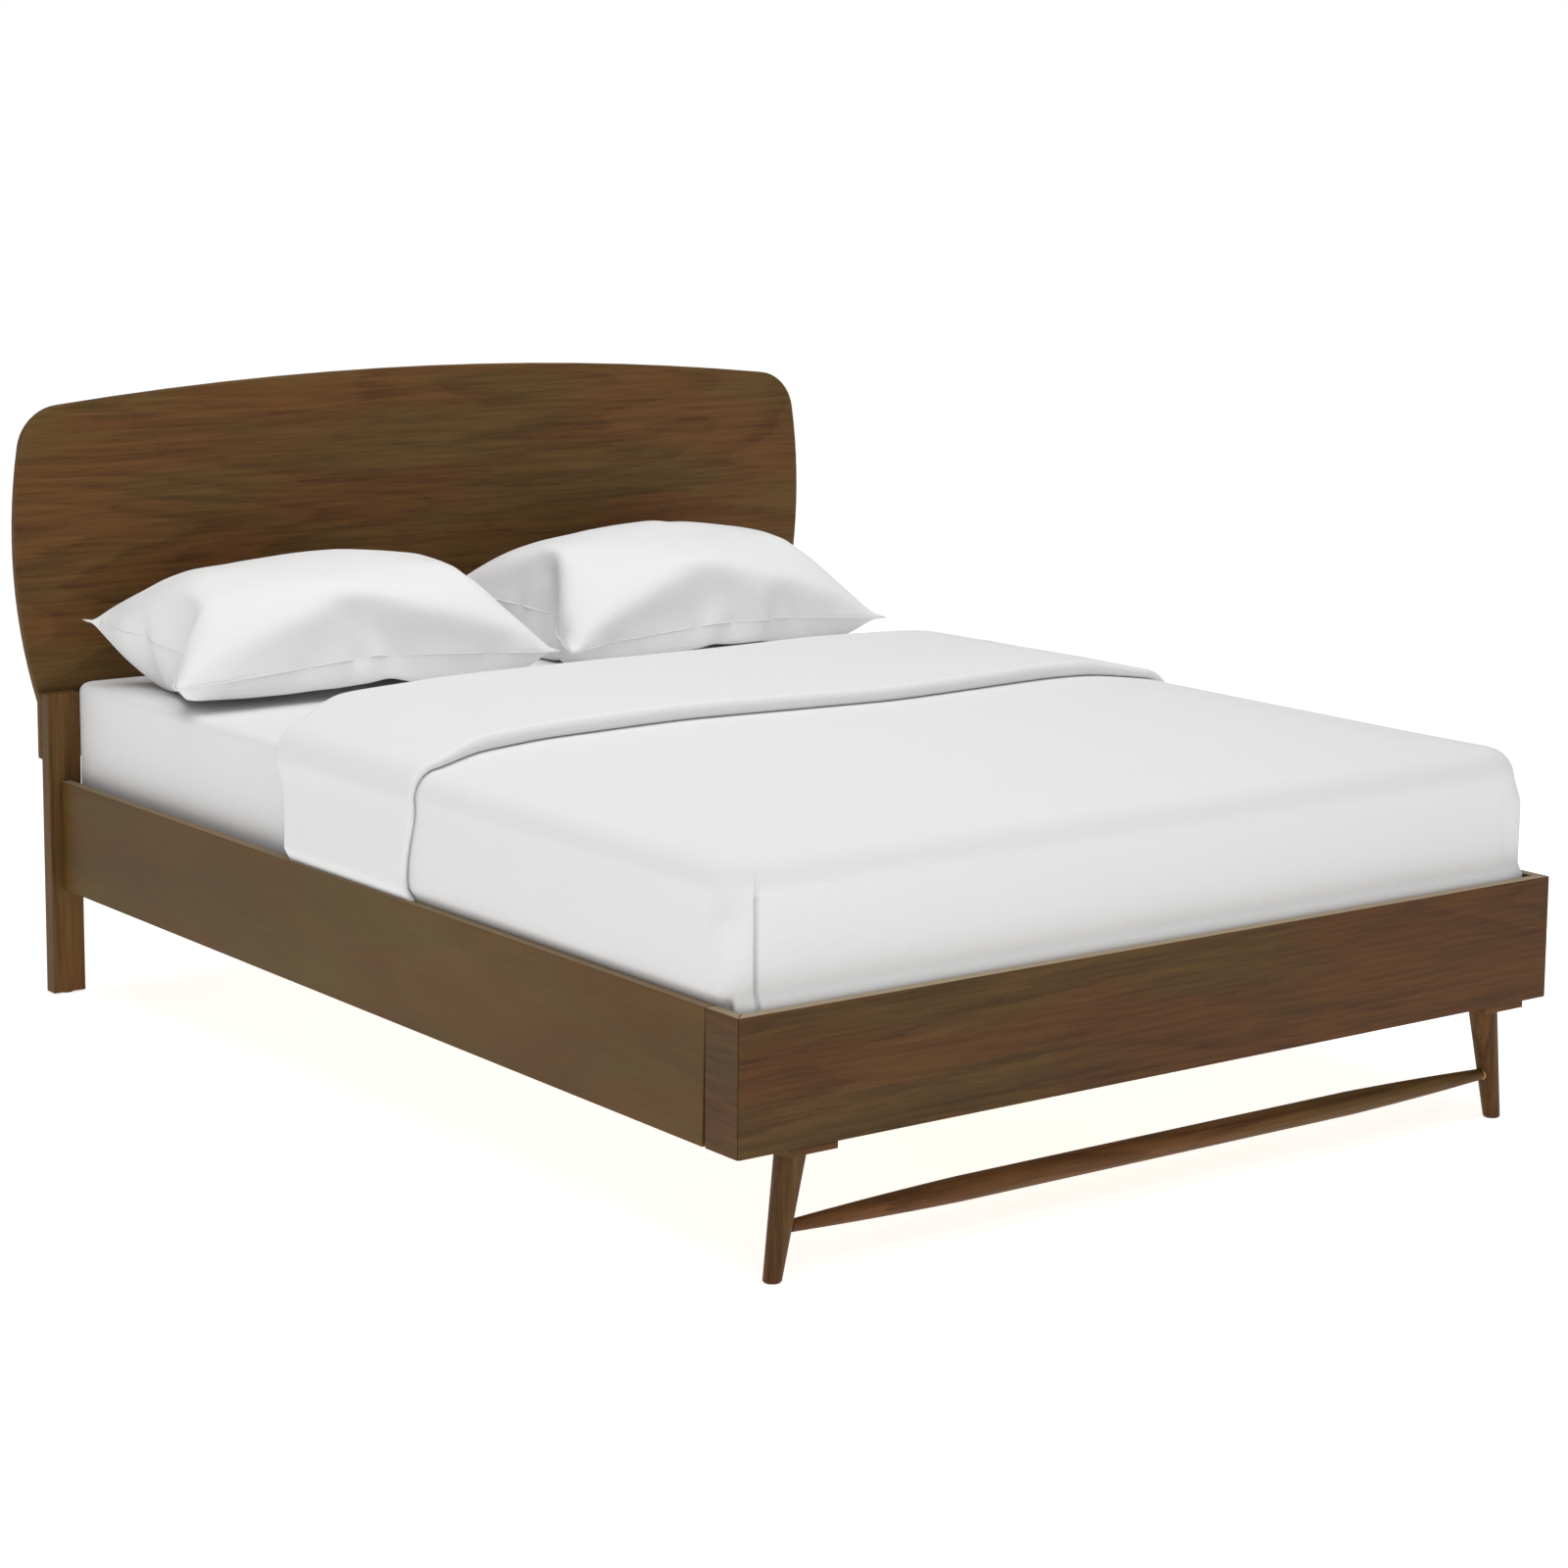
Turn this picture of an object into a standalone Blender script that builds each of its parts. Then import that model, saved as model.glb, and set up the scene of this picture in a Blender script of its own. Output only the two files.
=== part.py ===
"""Queen-size platform bed with a rounded headboard panel, splayed front legs and made-up bedding.

Frame: metres, +Z up, X across the bed, -Y at the foot and +Y at the head. The origin is the centre of
the bed's plan, on the floor. Each object is one physical piece of the bed.
"""

import math

import bmesh
import bpy
from mathutils import Matrix, Vector

# ---------------------------------------------------------------- driving dimensions
GAP = 0.0003                # clearance left wherever two pieces touch
BOARD = 0.020               # thickness of the rails and the footboard
FRAME_WIDTH = 1.600         # outside the side rails
RAIL_BOTTOM = 0.192         # underside of the rails and the footboard
RAIL_TOP = 0.390
RETURN_DEPTH = 0.077        # how far the footboard's mitred ends reach back
RAIL_GAP_TOP = 0.001        # the open joint between a rail and a return widens downwards
RAIL_GAP_BOTTOM = 0.006
EDGE_ROUND = 0.0015

HEAD_LEG_FRONT = 2.070      # from the footboard's face to the head legs' front faces
HEAD_LEG_DEPTH = 0.030
HEAD_LEG_WIDTH = 0.062
HEAD_LEG_OUTER = 0.822      # half the distance across the head legs
HEAD_LEG_TOP = 0.548
PANEL_THICK = 0.018
PANEL_BOTTOM = 0.426
PANEL_TOP = 1.102
PANEL_HALF_WIDTH = 0.864    # at the widest height
PANEL_WIDEST_HEIGHT = 0.820
PANEL_SIDE_RADIUS = 1.035
PANEL_CROWN_RADIUS = 7.2
PANEL_CORNER_RADIUS = 0.086
PANEL_EDGE_ROUND = 0.004

FOOT_LEG_SETBACK = 0.030    # the front legs' axes, behind the footboard's face
FOOT_LEG_TOP_X = 0.689
FOOT_LEG_FLOOR_X = 0.7185
FOOT_LEG_TOP_R = 0.023
FOOT_LEG_FLOOR_R = 0.0135
LEG_PLATE_THICK = 0.0105
LEG_PLATE_TO_LEFT = 0.025   # how far a plate reaches to each side of its leg's axis
LEG_PLATE_TO_RIGHT = 0.062
GLIDE_HEIGHT = 0.002
STRETCHER_HEIGHT = 0.0745
STRETCHER_MID_R = 0.0185
STRETCHER_END_R = 0.009
STRETCHER_TAPER = 0.300     # length of the tapered stretch at each end
TENON_R = 0.007
TENON_LENGTH = 0.014

MATTRESS_LENGTH = 2.032
MATTRESS_WIDTH = 1.524
MATTRESS_HEIGHT = 0.250
MATTRESS_CORNER = 0.060     # upright corners, in plan
MATTRESS_EDGE = 0.015
SHEET_THICK = 0.0012
SLAT_TOP = 0.312
SLAT_THICK = 0.020
SLAT_WIDTH = 0.064
SLAT_COUNT = 13
CLEAT_WIDTH = 0.025
CLEAT_HEIGHT = 0.035
BEAM_WIDTH = 0.045
BEAM_HEIGHT = 0.060
STEEL = 0.003
CENTER_LEG_SIDE = 0.038
CENTER_LEG_PLACES = (0.66, 1.09, 1.52)   # from the footboard's face
CENTER_LEG_FLOOR = 0.021    # underside of the posts
FOOT_TRAVEL = 0.015         # how far a levelling foot screws out
FOOT_ENGAGED = 0.024        # thread still in the post when the foot is fully out

DUVET_TOP = 0.600
DUVET_FOLD_TOP = 0.627      # top of the turned-back part
DUVET_FOLD_FROM = 0.840     # the turned-back part, from the footboard's face
DUVET_HEAD = 1.270
DUVET_HALF_WIDTH = 0.787
DUVET_FOOT = 0.036
PILLOW_LENGTH = 0.740
PILLOW_WIDTH = 0.500

ROUND_STEPS = 40            # facets round a turned piece

BED_LENGTH = HEAD_LEG_FRONT + HEAD_LEG_DEPTH + GAP + PANEL_THICK
HALF_WIDTH = FRAME_WIDTH / 2
INNER_X = HALF_WIDTH - BOARD          # inner faces of the side rails
SLAT_BOTTOM = SLAT_TOP - SLAT_THICK
CLEAT_TOP = SLAT_BOTTOM - GAP
PANEL_FRONT = HEAD_LEG_FRONT + HEAD_LEG_DEPTH + GAP
HEAD_RAIL_FRONT = HEAD_LEG_FRONT + 0.005
MATTRESS_BOTTOM = SLAT_TOP + GAP
MATTRESS_TOP = MATTRESS_BOTTOM + MATTRESS_HEIGHT
MATTRESS_HEAD = PANEL_FRONT - 0.004
SHEET_TOP = MATTRESS_TOP + GAP + SHEET_THICK
LEG_TOP = RAIL_BOTTOM - GAP - LEG_PLATE_THICK - GAP
LEG_FLOOR = GLIDE_HEIGHT + GAP
SIDES = (("left", -1), ("right", 1))

# name: (red, green, blue, roughness, metallic)
FINISHES = {
    "walnut_veneer": (0.120, 0.060, 0.026, 0.48, 0.0),
    "walnut_rail": (0.118, 0.076, 0.036, 0.50, 0.0),
    "walnut_solid": (0.105, 0.052, 0.022, 0.45, 0.0),
    "slat_pine": (0.560, 0.400, 0.230, 0.70, 0.0),
    "black_steel": (0.030, 0.030, 0.032, 0.45, 0.8),
    "brown_felt": (0.060, 0.040, 0.028, 0.95, 0.0),
    "black_plastic": (0.020, 0.020, 0.022, 0.50, 0.0),
    "strap_web": (0.700, 0.690, 0.650, 0.90, 0.0),
    "mattress_tick": (0.800, 0.800, 0.790, 0.90, 0.0),
    "sheet_cotton": (0.850, 0.850, 0.850, 0.90, 0.0),
    "duvet_cotton": (0.850, 0.850, 0.850, 0.90, 0.0),
    "pillow_cotton": (0.870, 0.870, 0.870, 0.90, 0.0),
}


# ---------------------------------------------------------------- modelling helpers
def clear_scene():
    for obj in list(bpy.data.objects):
        bpy.data.objects.remove(obj, do_unlink=True)


def along(distance):
    """World Y of a place given by its distance from the footboard's face."""
    return distance - BED_LENGTH / 2


def material(name):
    made = bpy.data.materials.get(name)
    if made is None:
        red, green, blue, roughness, metallic = FINISHES[name]
        made = bpy.data.materials.new(name)
        made.use_nodes = True
        shader = made.node_tree.nodes["Principled BSDF"]
        shader.inputs["Base Color"].default_value = (red, green, blue, 1.0)
        shader.inputs["Roughness"].default_value = roughness
        shader.inputs["Metallic"].default_value = metallic
    return made


def add_piece(name, mesh_data, finish, smooth=False):
    """Turns a finished bmesh into an object, with its faces pointing out."""
    bmesh.ops.recalc_face_normals(mesh_data, faces=mesh_data.faces)
    mesh = bpy.data.meshes.new(name)
    mesh_data.to_mesh(mesh)
    mesh_data.free()
    if smooth:
        mesh.shade_smooth()
        mesh.set_sharp_from_angle(angle=math.radians(30))
    obj = bpy.data.objects.new(name, mesh)
    bpy.context.scene.collection.objects.link(obj)
    if finish:
        mesh.materials.append(material(finish))
    return obj


def prism(name, outline, low, high, finish, axis="z", smooth=False):
    """Extrudes a flat outline between two levels: (x, y) points along z, or (x, z) points along y."""
    shape = bmesh.new()
    corners = []
    for a, b in outline:
        corners.append(shape.verts.new((a, b, low) if axis == "z" else (a, low, b)))
    face = shape.faces.new(corners)
    grown = bmesh.ops.extrude_face_region(shape, geom=[face])
    moved = [item for item in grown["geom"] if isinstance(item, bmesh.types.BMVert)]
    shift = (0, 0, high - low) if axis == "z" else (0, high - low, 0)
    bmesh.ops.translate(shape, verts=moved, vec=shift)
    return add_piece(name, shape, finish, smooth)


def block(name, x, y, z, finish):
    """A box between the given pairs of x, distance from the footboard's face, and z."""
    outline = [
        (x[0], along(y[0])),
        (x[1], along(y[0])),
        (x[1], along(y[1])),
        (x[0], along(y[1])),
    ]
    return prism(name, outline, z[0], z[1], finish)


def mirrored(side, near, far):
    """The x pair of a piece that spans near to far on one side of the bed."""
    return tuple(sorted((side * near, side * far)))


def rounded(obj, radius, segments=2):
    bevel = obj.modifiers.new("edges", "BEVEL")
    bevel.width = radius
    bevel.segments = segments
    bevel.limit_method = "ANGLE"
    bevel.angle_limit = math.radians(40)
    return obj


def turned(name, rings, place, finish, steps=ROUND_STEPS):
    """A round piece on a vertical axis from (height, radius) rings, closed at both ends."""
    return lofted(name, [(Vector((0, 0, h)), r) for h, r in rings], place, finish, steps)


def lofted(name, rings, place, finish, steps=ROUND_STEPS, turn=None):
    """Joins horizontal rings of (centre, radius), then turns the piece and moves it into place."""
    shape = bmesh.new()
    loops = []
    for centre, radius in rings:
        loop = []
        for step in range(steps):
            angle = 2 * math.pi * step / steps
            spoke = Vector((math.cos(angle), math.sin(angle), 0)) * radius
            loop.append(shape.verts.new(centre + spoke))
        loops.append(loop)
    for lower, upper in zip(loops, loops[1:]):
        for step in range(steps):
            after = (step + 1) % steps
            shape.faces.new((lower[step], lower[after], upper[after], upper[step]))
    shape.faces.new(reversed(loops[0]))
    shape.faces.new(loops[-1])
    if turn is not None:
        bmesh.ops.transform(shape, matrix=turn, verts=shape.verts)
    obj = add_piece(name, shape, finish, smooth=True)
    obj.location = place
    return obj


def combined(obj, other, operation):
    """Cuts away or adds the other shape, which stays in the file as a hidden guide."""
    change = obj.modifiers.new(operation.lower(), "BOOLEAN")
    change.operation = operation
    change.solver = "EXACT"
    change.object = other
    other.hide_render = True
    other.display_type = "WIRE"
    return obj


def cut(obj, cutter):
    return combined(obj, cutter, "DIFFERENCE")


def joined(obj, other):
    return combined(obj, other, "UNION")


# ---------------------------------------------------------------- headboard
def arc_points(centre, radius, start, end, count):
    """Points on an arc from one angle to another, in degrees, both ends included."""
    points = []
    for step in range(count + 1):
        angle = math.radians(start + (end - start) * step / count)
        points.append((centre[0] + radius * math.cos(angle), centre[1] + radius * math.sin(angle)))
    return points


def panel_half_outline():
    """Right half of the headboard's outline, from the bottom to the crown."""
    side_centre = (PANEL_HALF_WIDTH - PANEL_SIDE_RADIUS, PANEL_WIDEST_HEIGHT)
    crown_centre = (0.0, PANEL_TOP - PANEL_CROWN_RADIUS)
    # The corner arc touches the side arc and the crown arc from inside.
    to_side = PANEL_SIDE_RADIUS - PANEL_CORNER_RADIUS
    to_crown = PANEL_CROWN_RADIUS - PANEL_CORNER_RADIUS
    span = Vector(crown_centre) - Vector(side_centre)
    reach = span.length
    onward = (to_side**2 - to_crown**2 + reach**2) / (2 * reach)
    aside = math.sqrt(to_side**2 - onward**2)
    way = span.normalized()
    corner = Vector(side_centre) + way * onward + Vector((-way.y, way.x)) * aside
    from_side = math.degrees(math.atan2(corner.y - side_centre[1], corner.x - side_centre[0]))
    from_crown = math.degrees(math.atan2(corner.y - crown_centre[1], corner.x - crown_centre[0]))
    leg_meets = -math.degrees(
        math.acos((HEAD_LEG_OUTER - side_centre[0]) / PANEL_SIDE_RADIUS)
    )
    points = [(HEAD_LEG_OUTER, PANEL_BOTTOM)]
    points += arc_points(side_centre, PANEL_SIDE_RADIUS, leg_meets, from_side, 14)
    points += arc_points(corner, PANEL_CORNER_RADIUS, from_side, from_crown, 10)[1:]
    points += arc_points(crown_centre, PANEL_CROWN_RADIUS, from_crown, 90, 7)[1:]
    return points


def headboard():
    right = panel_half_outline()
    left = [(-x, z) for x, z in reversed(right[:-1])]
    back = along(PANEL_FRONT + PANEL_THICK)
    panel = prism(
        "headboard_panel", right + left, along(PANEL_FRONT), back, "walnut_veneer", "y", True
    )
    rounded(panel, PANEL_EDGE_ROUND, 2)
    for name, side in SIDES:
        outer, inner = HEAD_LEG_OUTER, HEAD_LEG_OUTER - HEAD_LEG_WIDTH
        x = mirrored(side, outer, inner)
        y = (HEAD_LEG_FRONT, HEAD_LEG_FRONT + HEAD_LEG_DEPTH)
        leg = block("headboard_leg_" + name, x, y, (LEG_FLOOR, HEAD_LEG_TOP), "walnut_solid")
        rounded(leg, EDGE_ROUND)
        middle_x = side * (outer + inner) / 2
        middle_y = along(HEAD_LEG_FRONT + HEAD_LEG_DEPTH / 2)
        glide(f"headboard_glide_{name}", middle_x, middle_y, 0.012)
        for level, height in (("lower", 0.455), ("upper", 0.520)):
            headboard_bolt(f"headboard_bolt_{name}_{level}", panel, leg, middle_x, height)


def headboard_bolt(name, panel, leg, x, height):
    """A flat-headed furniture bolt through the panel into the leg, its head let into the panel's back."""
    head_r, head_thick, shank_r, into_leg = 0.0075, 0.0025, 0.003, 0.016
    back = PANEL_FRONT + PANEL_THICK
    head_floor = back - head_thick - 2 * GAP
    tip = PANEL_FRONT - into_leg
    level = Matrix.Rotation(math.radians(-90), 4, "X")   # turns +Z into +Y
    rings = [
        (tip, shank_r),
        (head_floor + GAP, shank_r),
        (head_floor + GAP, head_r),
        (head_floor + GAP + head_thick, head_r),
    ]
    bolt_rings = [(Vector((0, 0, along(y))), r) for y, r in rings]
    lofted(name, bolt_rings, (x, 0, height), "black_steel", 16, level)
    bore = [
        (tip - 0.002, shank_r + GAP),
        (head_floor, shank_r + GAP),
        (head_floor, head_r + GAP),
        (back + 0.002, head_r + GAP),
    ]
    bore_rings = [(Vector((0, 0, along(y))), r) for y, r in bore]
    cutter = lofted(name + "_bore", bore_rings, (x, 0, height), None, 16, level)
    cut(panel, cutter)
    cut(leg, cutter)


def glide(name, x, y, radius):
    """A thin felt disc under a leg."""
    rings = [(0.0, radius - 0.0006), (0.0006, radius), (GLIDE_HEIGHT, radius)]
    turned(name, rings, (x, y, 0), "brown_felt", 20)


# ---------------------------------------------------------------- rails and footboard
def footboard():
    mitre_gap = GAP * math.sqrt(2)
    front, back = along(0.0), along(BOARD)
    outline = [(-HALF_WIDTH, front), (HALF_WIDTH, front), (INNER_X, back), (-INNER_X, back)]
    board = prism("footboard", outline, RAIL_BOTTOM, RAIL_TOP, "walnut_veneer")
    rounded(board, EDGE_ROUND)
    for name, side in SIDES:
        outline = [
            (side * HALF_WIDTH, front + mitre_gap),
            (side * INNER_X, back + mitre_gap),
            (side * INNER_X, along(RETURN_DEPTH)),
            (side * HALF_WIDTH, along(RETURN_DEPTH)),
        ]
        piece = prism(
            "footboard_return_" + name, outline, RAIL_BOTTOM, RAIL_TOP, "walnut_veneer"
        )
        rounded(piece, EDGE_ROUND)
        corner = mirrored(side, INNER_X - GAP, INNER_X - 0.040)
        y = (BOARD + 2 * GAP, BOARD + 0.040)
        block("corner_block_" + name, corner, y, (RAIL_BOTTOM + 0.005, SLAT_TOP), "slat_pine")


def side_rail(name, side):
    """One long rail. Its foot end slopes, so that the joint with the return opens downwards."""
    shape = bmesh.new()
    head_end = along(HEAD_LEG_FRONT - GAP)
    profile = [
        (along(RETURN_DEPTH + RAIL_GAP_BOTTOM), RAIL_BOTTOM),
        (head_end, RAIL_BOTTOM),
        (head_end, RAIL_TOP),
        (along(RETURN_DEPTH + RAIL_GAP_TOP), RAIL_TOP),
    ]
    face = shape.faces.new([shape.verts.new((side * INNER_X, y, z)) for y, z in profile])
    grown = bmesh.ops.extrude_face_region(shape, geom=[face])
    moved = [item for item in grown["geom"] if isinstance(item, bmesh.types.BMVert)]
    bmesh.ops.translate(shape, verts=moved, vec=(side * BOARD, 0, 0))
    rail = add_piece("side_rail_" + name, shape, "walnut_rail")
    rounded(rail, EDGE_ROUND)


def rail_bracket(name, side, arm, leaf, leaf_width):
    """A steel angle that ties a rail to the piece at its end, with the bolt heads on it.

    arm is the stretch of rail that it covers and leaf the thickness of its short leaf, both as
    distances from the footboard's face.
    """
    low, high = 0.198, 0.252
    face = INNER_X - GAP
    angle = block(name, mirrored(side, face, face - STEEL), arm, (low, high), "black_steel")
    short = block(
        name + "_leaf", mirrored(side, face, face - leaf_width), leaf, (low, high), None
    )
    joined(angle, short)
    sideways = Matrix.Rotation(math.radians(90 * side), 4, "Y")
    span = arm[1] - arm[0]
    for index, share in enumerate((0.42, 0.78)):
        from_leaf = share if leaf[0] == arm[0] else 1 - share
        place = (side * (face - STEEL / 2), along(arm[0] + span * from_leaf), (low + high) / 2)
        rings = [(Vector((0, 0, 0)), 0.007), (Vector((0, 0, -0.0045)), 0.0065)]
        rings.append((Vector((0, 0, -0.0055)), 0.005))
        head = lofted(f"{name}_head_{index}", rings, place, None, 6, sideways)
        joined(angle, head)


def rails():
    for name, side in SIDES:
        side_rail(name, side)
        cleat_x = mirrored(side, INNER_X - GAP, INNER_X - CLEAT_WIDTH)
        cleat_y = (BOARD + 0.045, HEAD_LEG_FRONT - 0.002)
        cleat_z = (CLEAT_TOP - CLEAT_HEIGHT, CLEAT_TOP)
        block("slat_cleat_" + name, cleat_x, cleat_y, cleat_z, "slat_pine")
        foot = BOARD + 0.040 + GAP
        rail_bracket(
            "rail_bracket_foot_" + name, side, (foot, foot + 0.100), (foot, foot + STEEL), 0.038
        )
        head = HEAD_LEG_FRONT - GAP
        rail_bracket(
            "rail_bracket_head_" + name, side, (head - 0.100, head), (head - STEEL, head), 0.018
        )
    inner = HEAD_LEG_OUTER - HEAD_LEG_WIDTH - GAP
    head_y = (HEAD_RAIL_FRONT, HEAD_RAIL_FRONT + BOARD)
    rail = block("head_rail", (-inner, inner), head_y, (RAIL_BOTTOM, SLAT_TOP), "walnut_solid")
    rounded(rail, EDGE_ROUND)


# ---------------------------------------------------------------- front legs
def front_leg(name, side):
    """A splayed, tapered leg. Its rings stay level, so they are widened a little along the splay."""
    rings = []
    for height in (LEG_FLOOR, STRETCHER_HEIGHT, LEG_TOP):
        share = height / LEG_TOP
        x = side * (FOOT_LEG_FLOOR_X + (FOOT_LEG_TOP_X - FOOT_LEG_FLOOR_X) * share)
        radius = FOOT_LEG_FLOOR_R + (FOOT_LEG_TOP_R - FOOT_LEG_FLOOR_R) * share
        rings.append((Vector((x, 0, height)), radius))
    place = (0, along(FOOT_LEG_SETBACK), 0)
    leg = lofted("front_leg_" + name, rings, place, "walnut_solid")
    floor_x = rings[0][0].x
    glide("front_glide_" + name, floor_x, along(FOOT_LEG_SETBACK), FOOT_LEG_FLOOR_R - 0.0015)
    return leg


def stretcher_leg_x():
    """Distance from the middle of the bed to a front leg's axis, at the stretcher's height."""
    share = STRETCHER_HEIGHT / LEG_TOP
    return FOOT_LEG_FLOOR_X + (FOOT_LEG_TOP_X - FOOT_LEG_FLOOR_X) * share


def stretcher(legs):
    """The turned bar between the front legs, with a tenon let into each."""
    leg_r = FOOT_LEG_FLOOR_R + (FOOT_LEG_TOP_R - FOOT_LEG_FLOOR_R) * STRETCHER_HEIGHT / LEG_TOP
    shoulder = stretcher_leg_x() - leg_r - 0.0005
    tip = shoulder + TENON_LENGTH
    half = [(shoulder - STRETCHER_TAPER, STRETCHER_MID_R)]
    for share, radius_share in ((0.35, 0.22), (0.7, 0.58), (1.0, 1.0)):
        radius = STRETCHER_MID_R + (STRETCHER_END_R - STRETCHER_MID_R) * radius_share
        half.append((shoulder - STRETCHER_TAPER * (1 - share), radius))
    half += [(shoulder, TENON_R), (tip, TENON_R)]
    rings = [(Vector((0, 0, -d)), r) for d, r in reversed(half)]
    rings += [(Vector((0, 0, d)), r) for d, r in half]
    crosswise = Matrix.Rotation(math.radians(90), 4, "Y")
    place = (0, along(FOOT_LEG_SETBACK), STRETCHER_HEIGHT)
    lofted("stretcher", rings, place, "walnut_solid", 24, crosswise)
    seat = shoulder + GAP
    half_bore = [(seat, STRETCHER_END_R + GAP), (seat, TENON_R + GAP), (tip + GAP, TENON_R + GAP)]
    bore = [(Vector((0, 0, -d)), r) for d, r in reversed(half_bore)]
    bore += [(Vector((0, 0, d)), r) for d, r in half_bore]
    cutter = lofted("stretcher_bore", bore, place, None, 24, crosswise)
    for leg in legs:
        cut(leg, cutter)


def front_legs():
    legs = [front_leg(name, side) for name, side in SIDES]
    stretcher(legs)
    for name, side in SIDES:
        middle = side * FOOT_LEG_TOP_X
        x = (middle - LEG_PLATE_TO_LEFT, middle + LEG_PLATE_TO_RIGHT)
        z = (RAIL_BOTTOM - GAP - LEG_PLATE_THICK, RAIL_BOTTOM - GAP)
        plate = block("leg_plate_" + name, x, (0.002, 0.090), z, "walnut_solid")
        rounded(plate, 0.001, 1)


# ---------------------------------------------------------------- slat base
def slat_places():
    first, last = BOARD + 0.050 + SLAT_WIDTH / 2, HEAD_LEG_FRONT - 0.020 - SLAT_WIDTH / 2
    step = (last - first) / (SLAT_COUNT - 1)
    return [first + step * index for index in range(SLAT_COUNT)]


def slats():
    places = slat_places()
    for index, place in enumerate(places, start=1):
        y = (place - SLAT_WIDTH / 2, place + SLAT_WIDTH / 2)
        x = (-INNER_X + 0.003, INNER_X - 0.003)
        piece = block(f"slat_{index:02d}", x, y, (SLAT_BOTTOM, SLAT_TOP), "slat_pine")
        rounded(piece, 0.003, 1)
    reach = SLAT_WIDTH * 0.3
    strap_y = (places[0] - reach, places[-1] + reach)
    strap_z = (SLAT_BOTTOM - GAP - 0.0012, SLAT_BOTTOM - GAP)
    for name, side in SIDES:
        strap_x = mirrored(side, 0.385, 0.415)
        block("slat_strap_" + name, strap_x, strap_y, strap_z, "strap_web")


def beam_hanger(name, wall, toward):
    """A steel saddle screwed to a board at distance wall, opening toward the middle of the bed."""
    deep = 0.042
    half = BEAM_WIDTH / 2 + GAP
    floor = SLAT_BOTTOM - GAP - BEAM_HEIGHT - GAP
    y = tuple(sorted((wall, wall + toward * deep)))
    x = (-half - STEEL, half + STEEL)
    saddle = block(name, x, y, (floor - STEEL, floor + 0.045), "black_steel")
    pocket_y = tuple(sorted((wall + toward * STEEL, wall + toward * (deep + 0.010))))
    pocket = block(name + "_pocket", (-half, half), pocket_y, (floor, floor + 0.060), None)
    cut(saddle, pocket)


def centre_support():
    top = SLAT_BOTTOM - GAP
    low = top - BEAM_HEIGHT
    foot_wall, head_wall = BOARD + GAP, HEAD_RAIL_FRONT - GAP
    beam_x = (-BEAM_WIDTH / 2, BEAM_WIDTH / 2)
    beam_y = (foot_wall + STEEL + GAP, head_wall - STEEL - GAP)
    rounded(block("center_beam", beam_x, beam_y, (low, top), "slat_pine"), EDGE_ROUND, 1)
    beam_hanger("beam_hanger_foot", foot_wall, 1)
    beam_hanger("beam_hanger_head", head_wall, -1)
    half = CENTER_LEG_SIDE / 2
    for index, place in enumerate(CENTER_LEG_PLACES, start=1):
        post = block(
            f"center_leg_{index}",
            (-half, half),
            (place - half, place + half),
            (CENTER_LEG_FLOOR, low - GAP),
            "slat_pine",
        )
        rounded(post, EDGE_ROUND, 1)
        levelling_foot(f"levelling_foot_{index}", post, along(place))


def levelling_foot(name, post, y):
    """A pad, a hexagon to turn it by and a stud that screws up into the post."""
    stud_r = 0.004
    stud_top = CENTER_LEG_FLOOR + FOOT_TRAVEL + FOOT_ENGAGED
    pad = [(0.0, 0.0175), (0.0015, 0.019), (0.0050, 0.019), (0.0075, 0.013), (0.0085, 0.0095)]
    rings = pad + [(0.0160, 0.0095), (0.0165, stud_r), (stud_top - 0.002, stud_r)]
    rings.append((stud_top, stud_r - 0.0015))
    turned(name, rings, (0, y, 0), "black_plastic", 16)
    bore_r = stud_r + GAP
    bore = [(CENTER_LEG_FLOOR - 0.005, bore_r), (stud_top + 0.003, bore_r)]
    cut(post, turned(name + "_bore", bore, (0, y, 0), None, 16))


# ---------------------------------------------------------------- bedding
def rounded_slab(name, x, y, z, corner, finish, crown=0.0, base=0.0):
    """A slab with its upright corners rounded in plan, and its top and bottom edges by crown and base."""
    corner_steps, edge_steps = 4, 3
    levels = [(z[0], 0.0)]
    if base:
        levels = []
        for step in range(edge_steps + 1):
            angle = math.pi / 2 * step / edge_steps
            levels.append((z[0] + base * (1 - math.sin(angle)), base * (1 - math.cos(angle))))
        levels.reverse()
    levels.append((z[1] - crown, 0.0))
    for step in range(1, edge_steps + 1 if crown else 1):
        angle = math.pi / 2 * step / edge_steps
        levels.append((z[1] - crown * (1 - math.sin(angle)), crown * (1 - math.cos(angle))))
    centres = (
        (x[1] - corner, along(y[0]) + corner, -90),
        (x[1] - corner, along(y[1]) - corner, 0),
        (x[0] + corner, along(y[1]) - corner, 90),
        (x[0] + corner, along(y[0]) + corner, 180),
    )
    shape = bmesh.new()
    loops = []
    for height, inset in levels:
        loop = []
        for centre_x, centre_y, start in centres:
            arc = arc_points((centre_x, centre_y), corner - inset, start, start + 90, corner_steps)
            loop += [shape.verts.new((a, b, height)) for a, b in arc]
        loops.append(loop)
    for lower, upper in zip(loops, loops[1:]):
        for index in range(len(lower)):
            after = (index + 1) % len(lower)
            shape.faces.new((lower[index], lower[after], upper[after], upper[index]))
    shape.faces.new(reversed(loops[0]))
    shape.faces.new(loops[-1])
    return add_piece(name, shape, finish, smooth=True)


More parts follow.
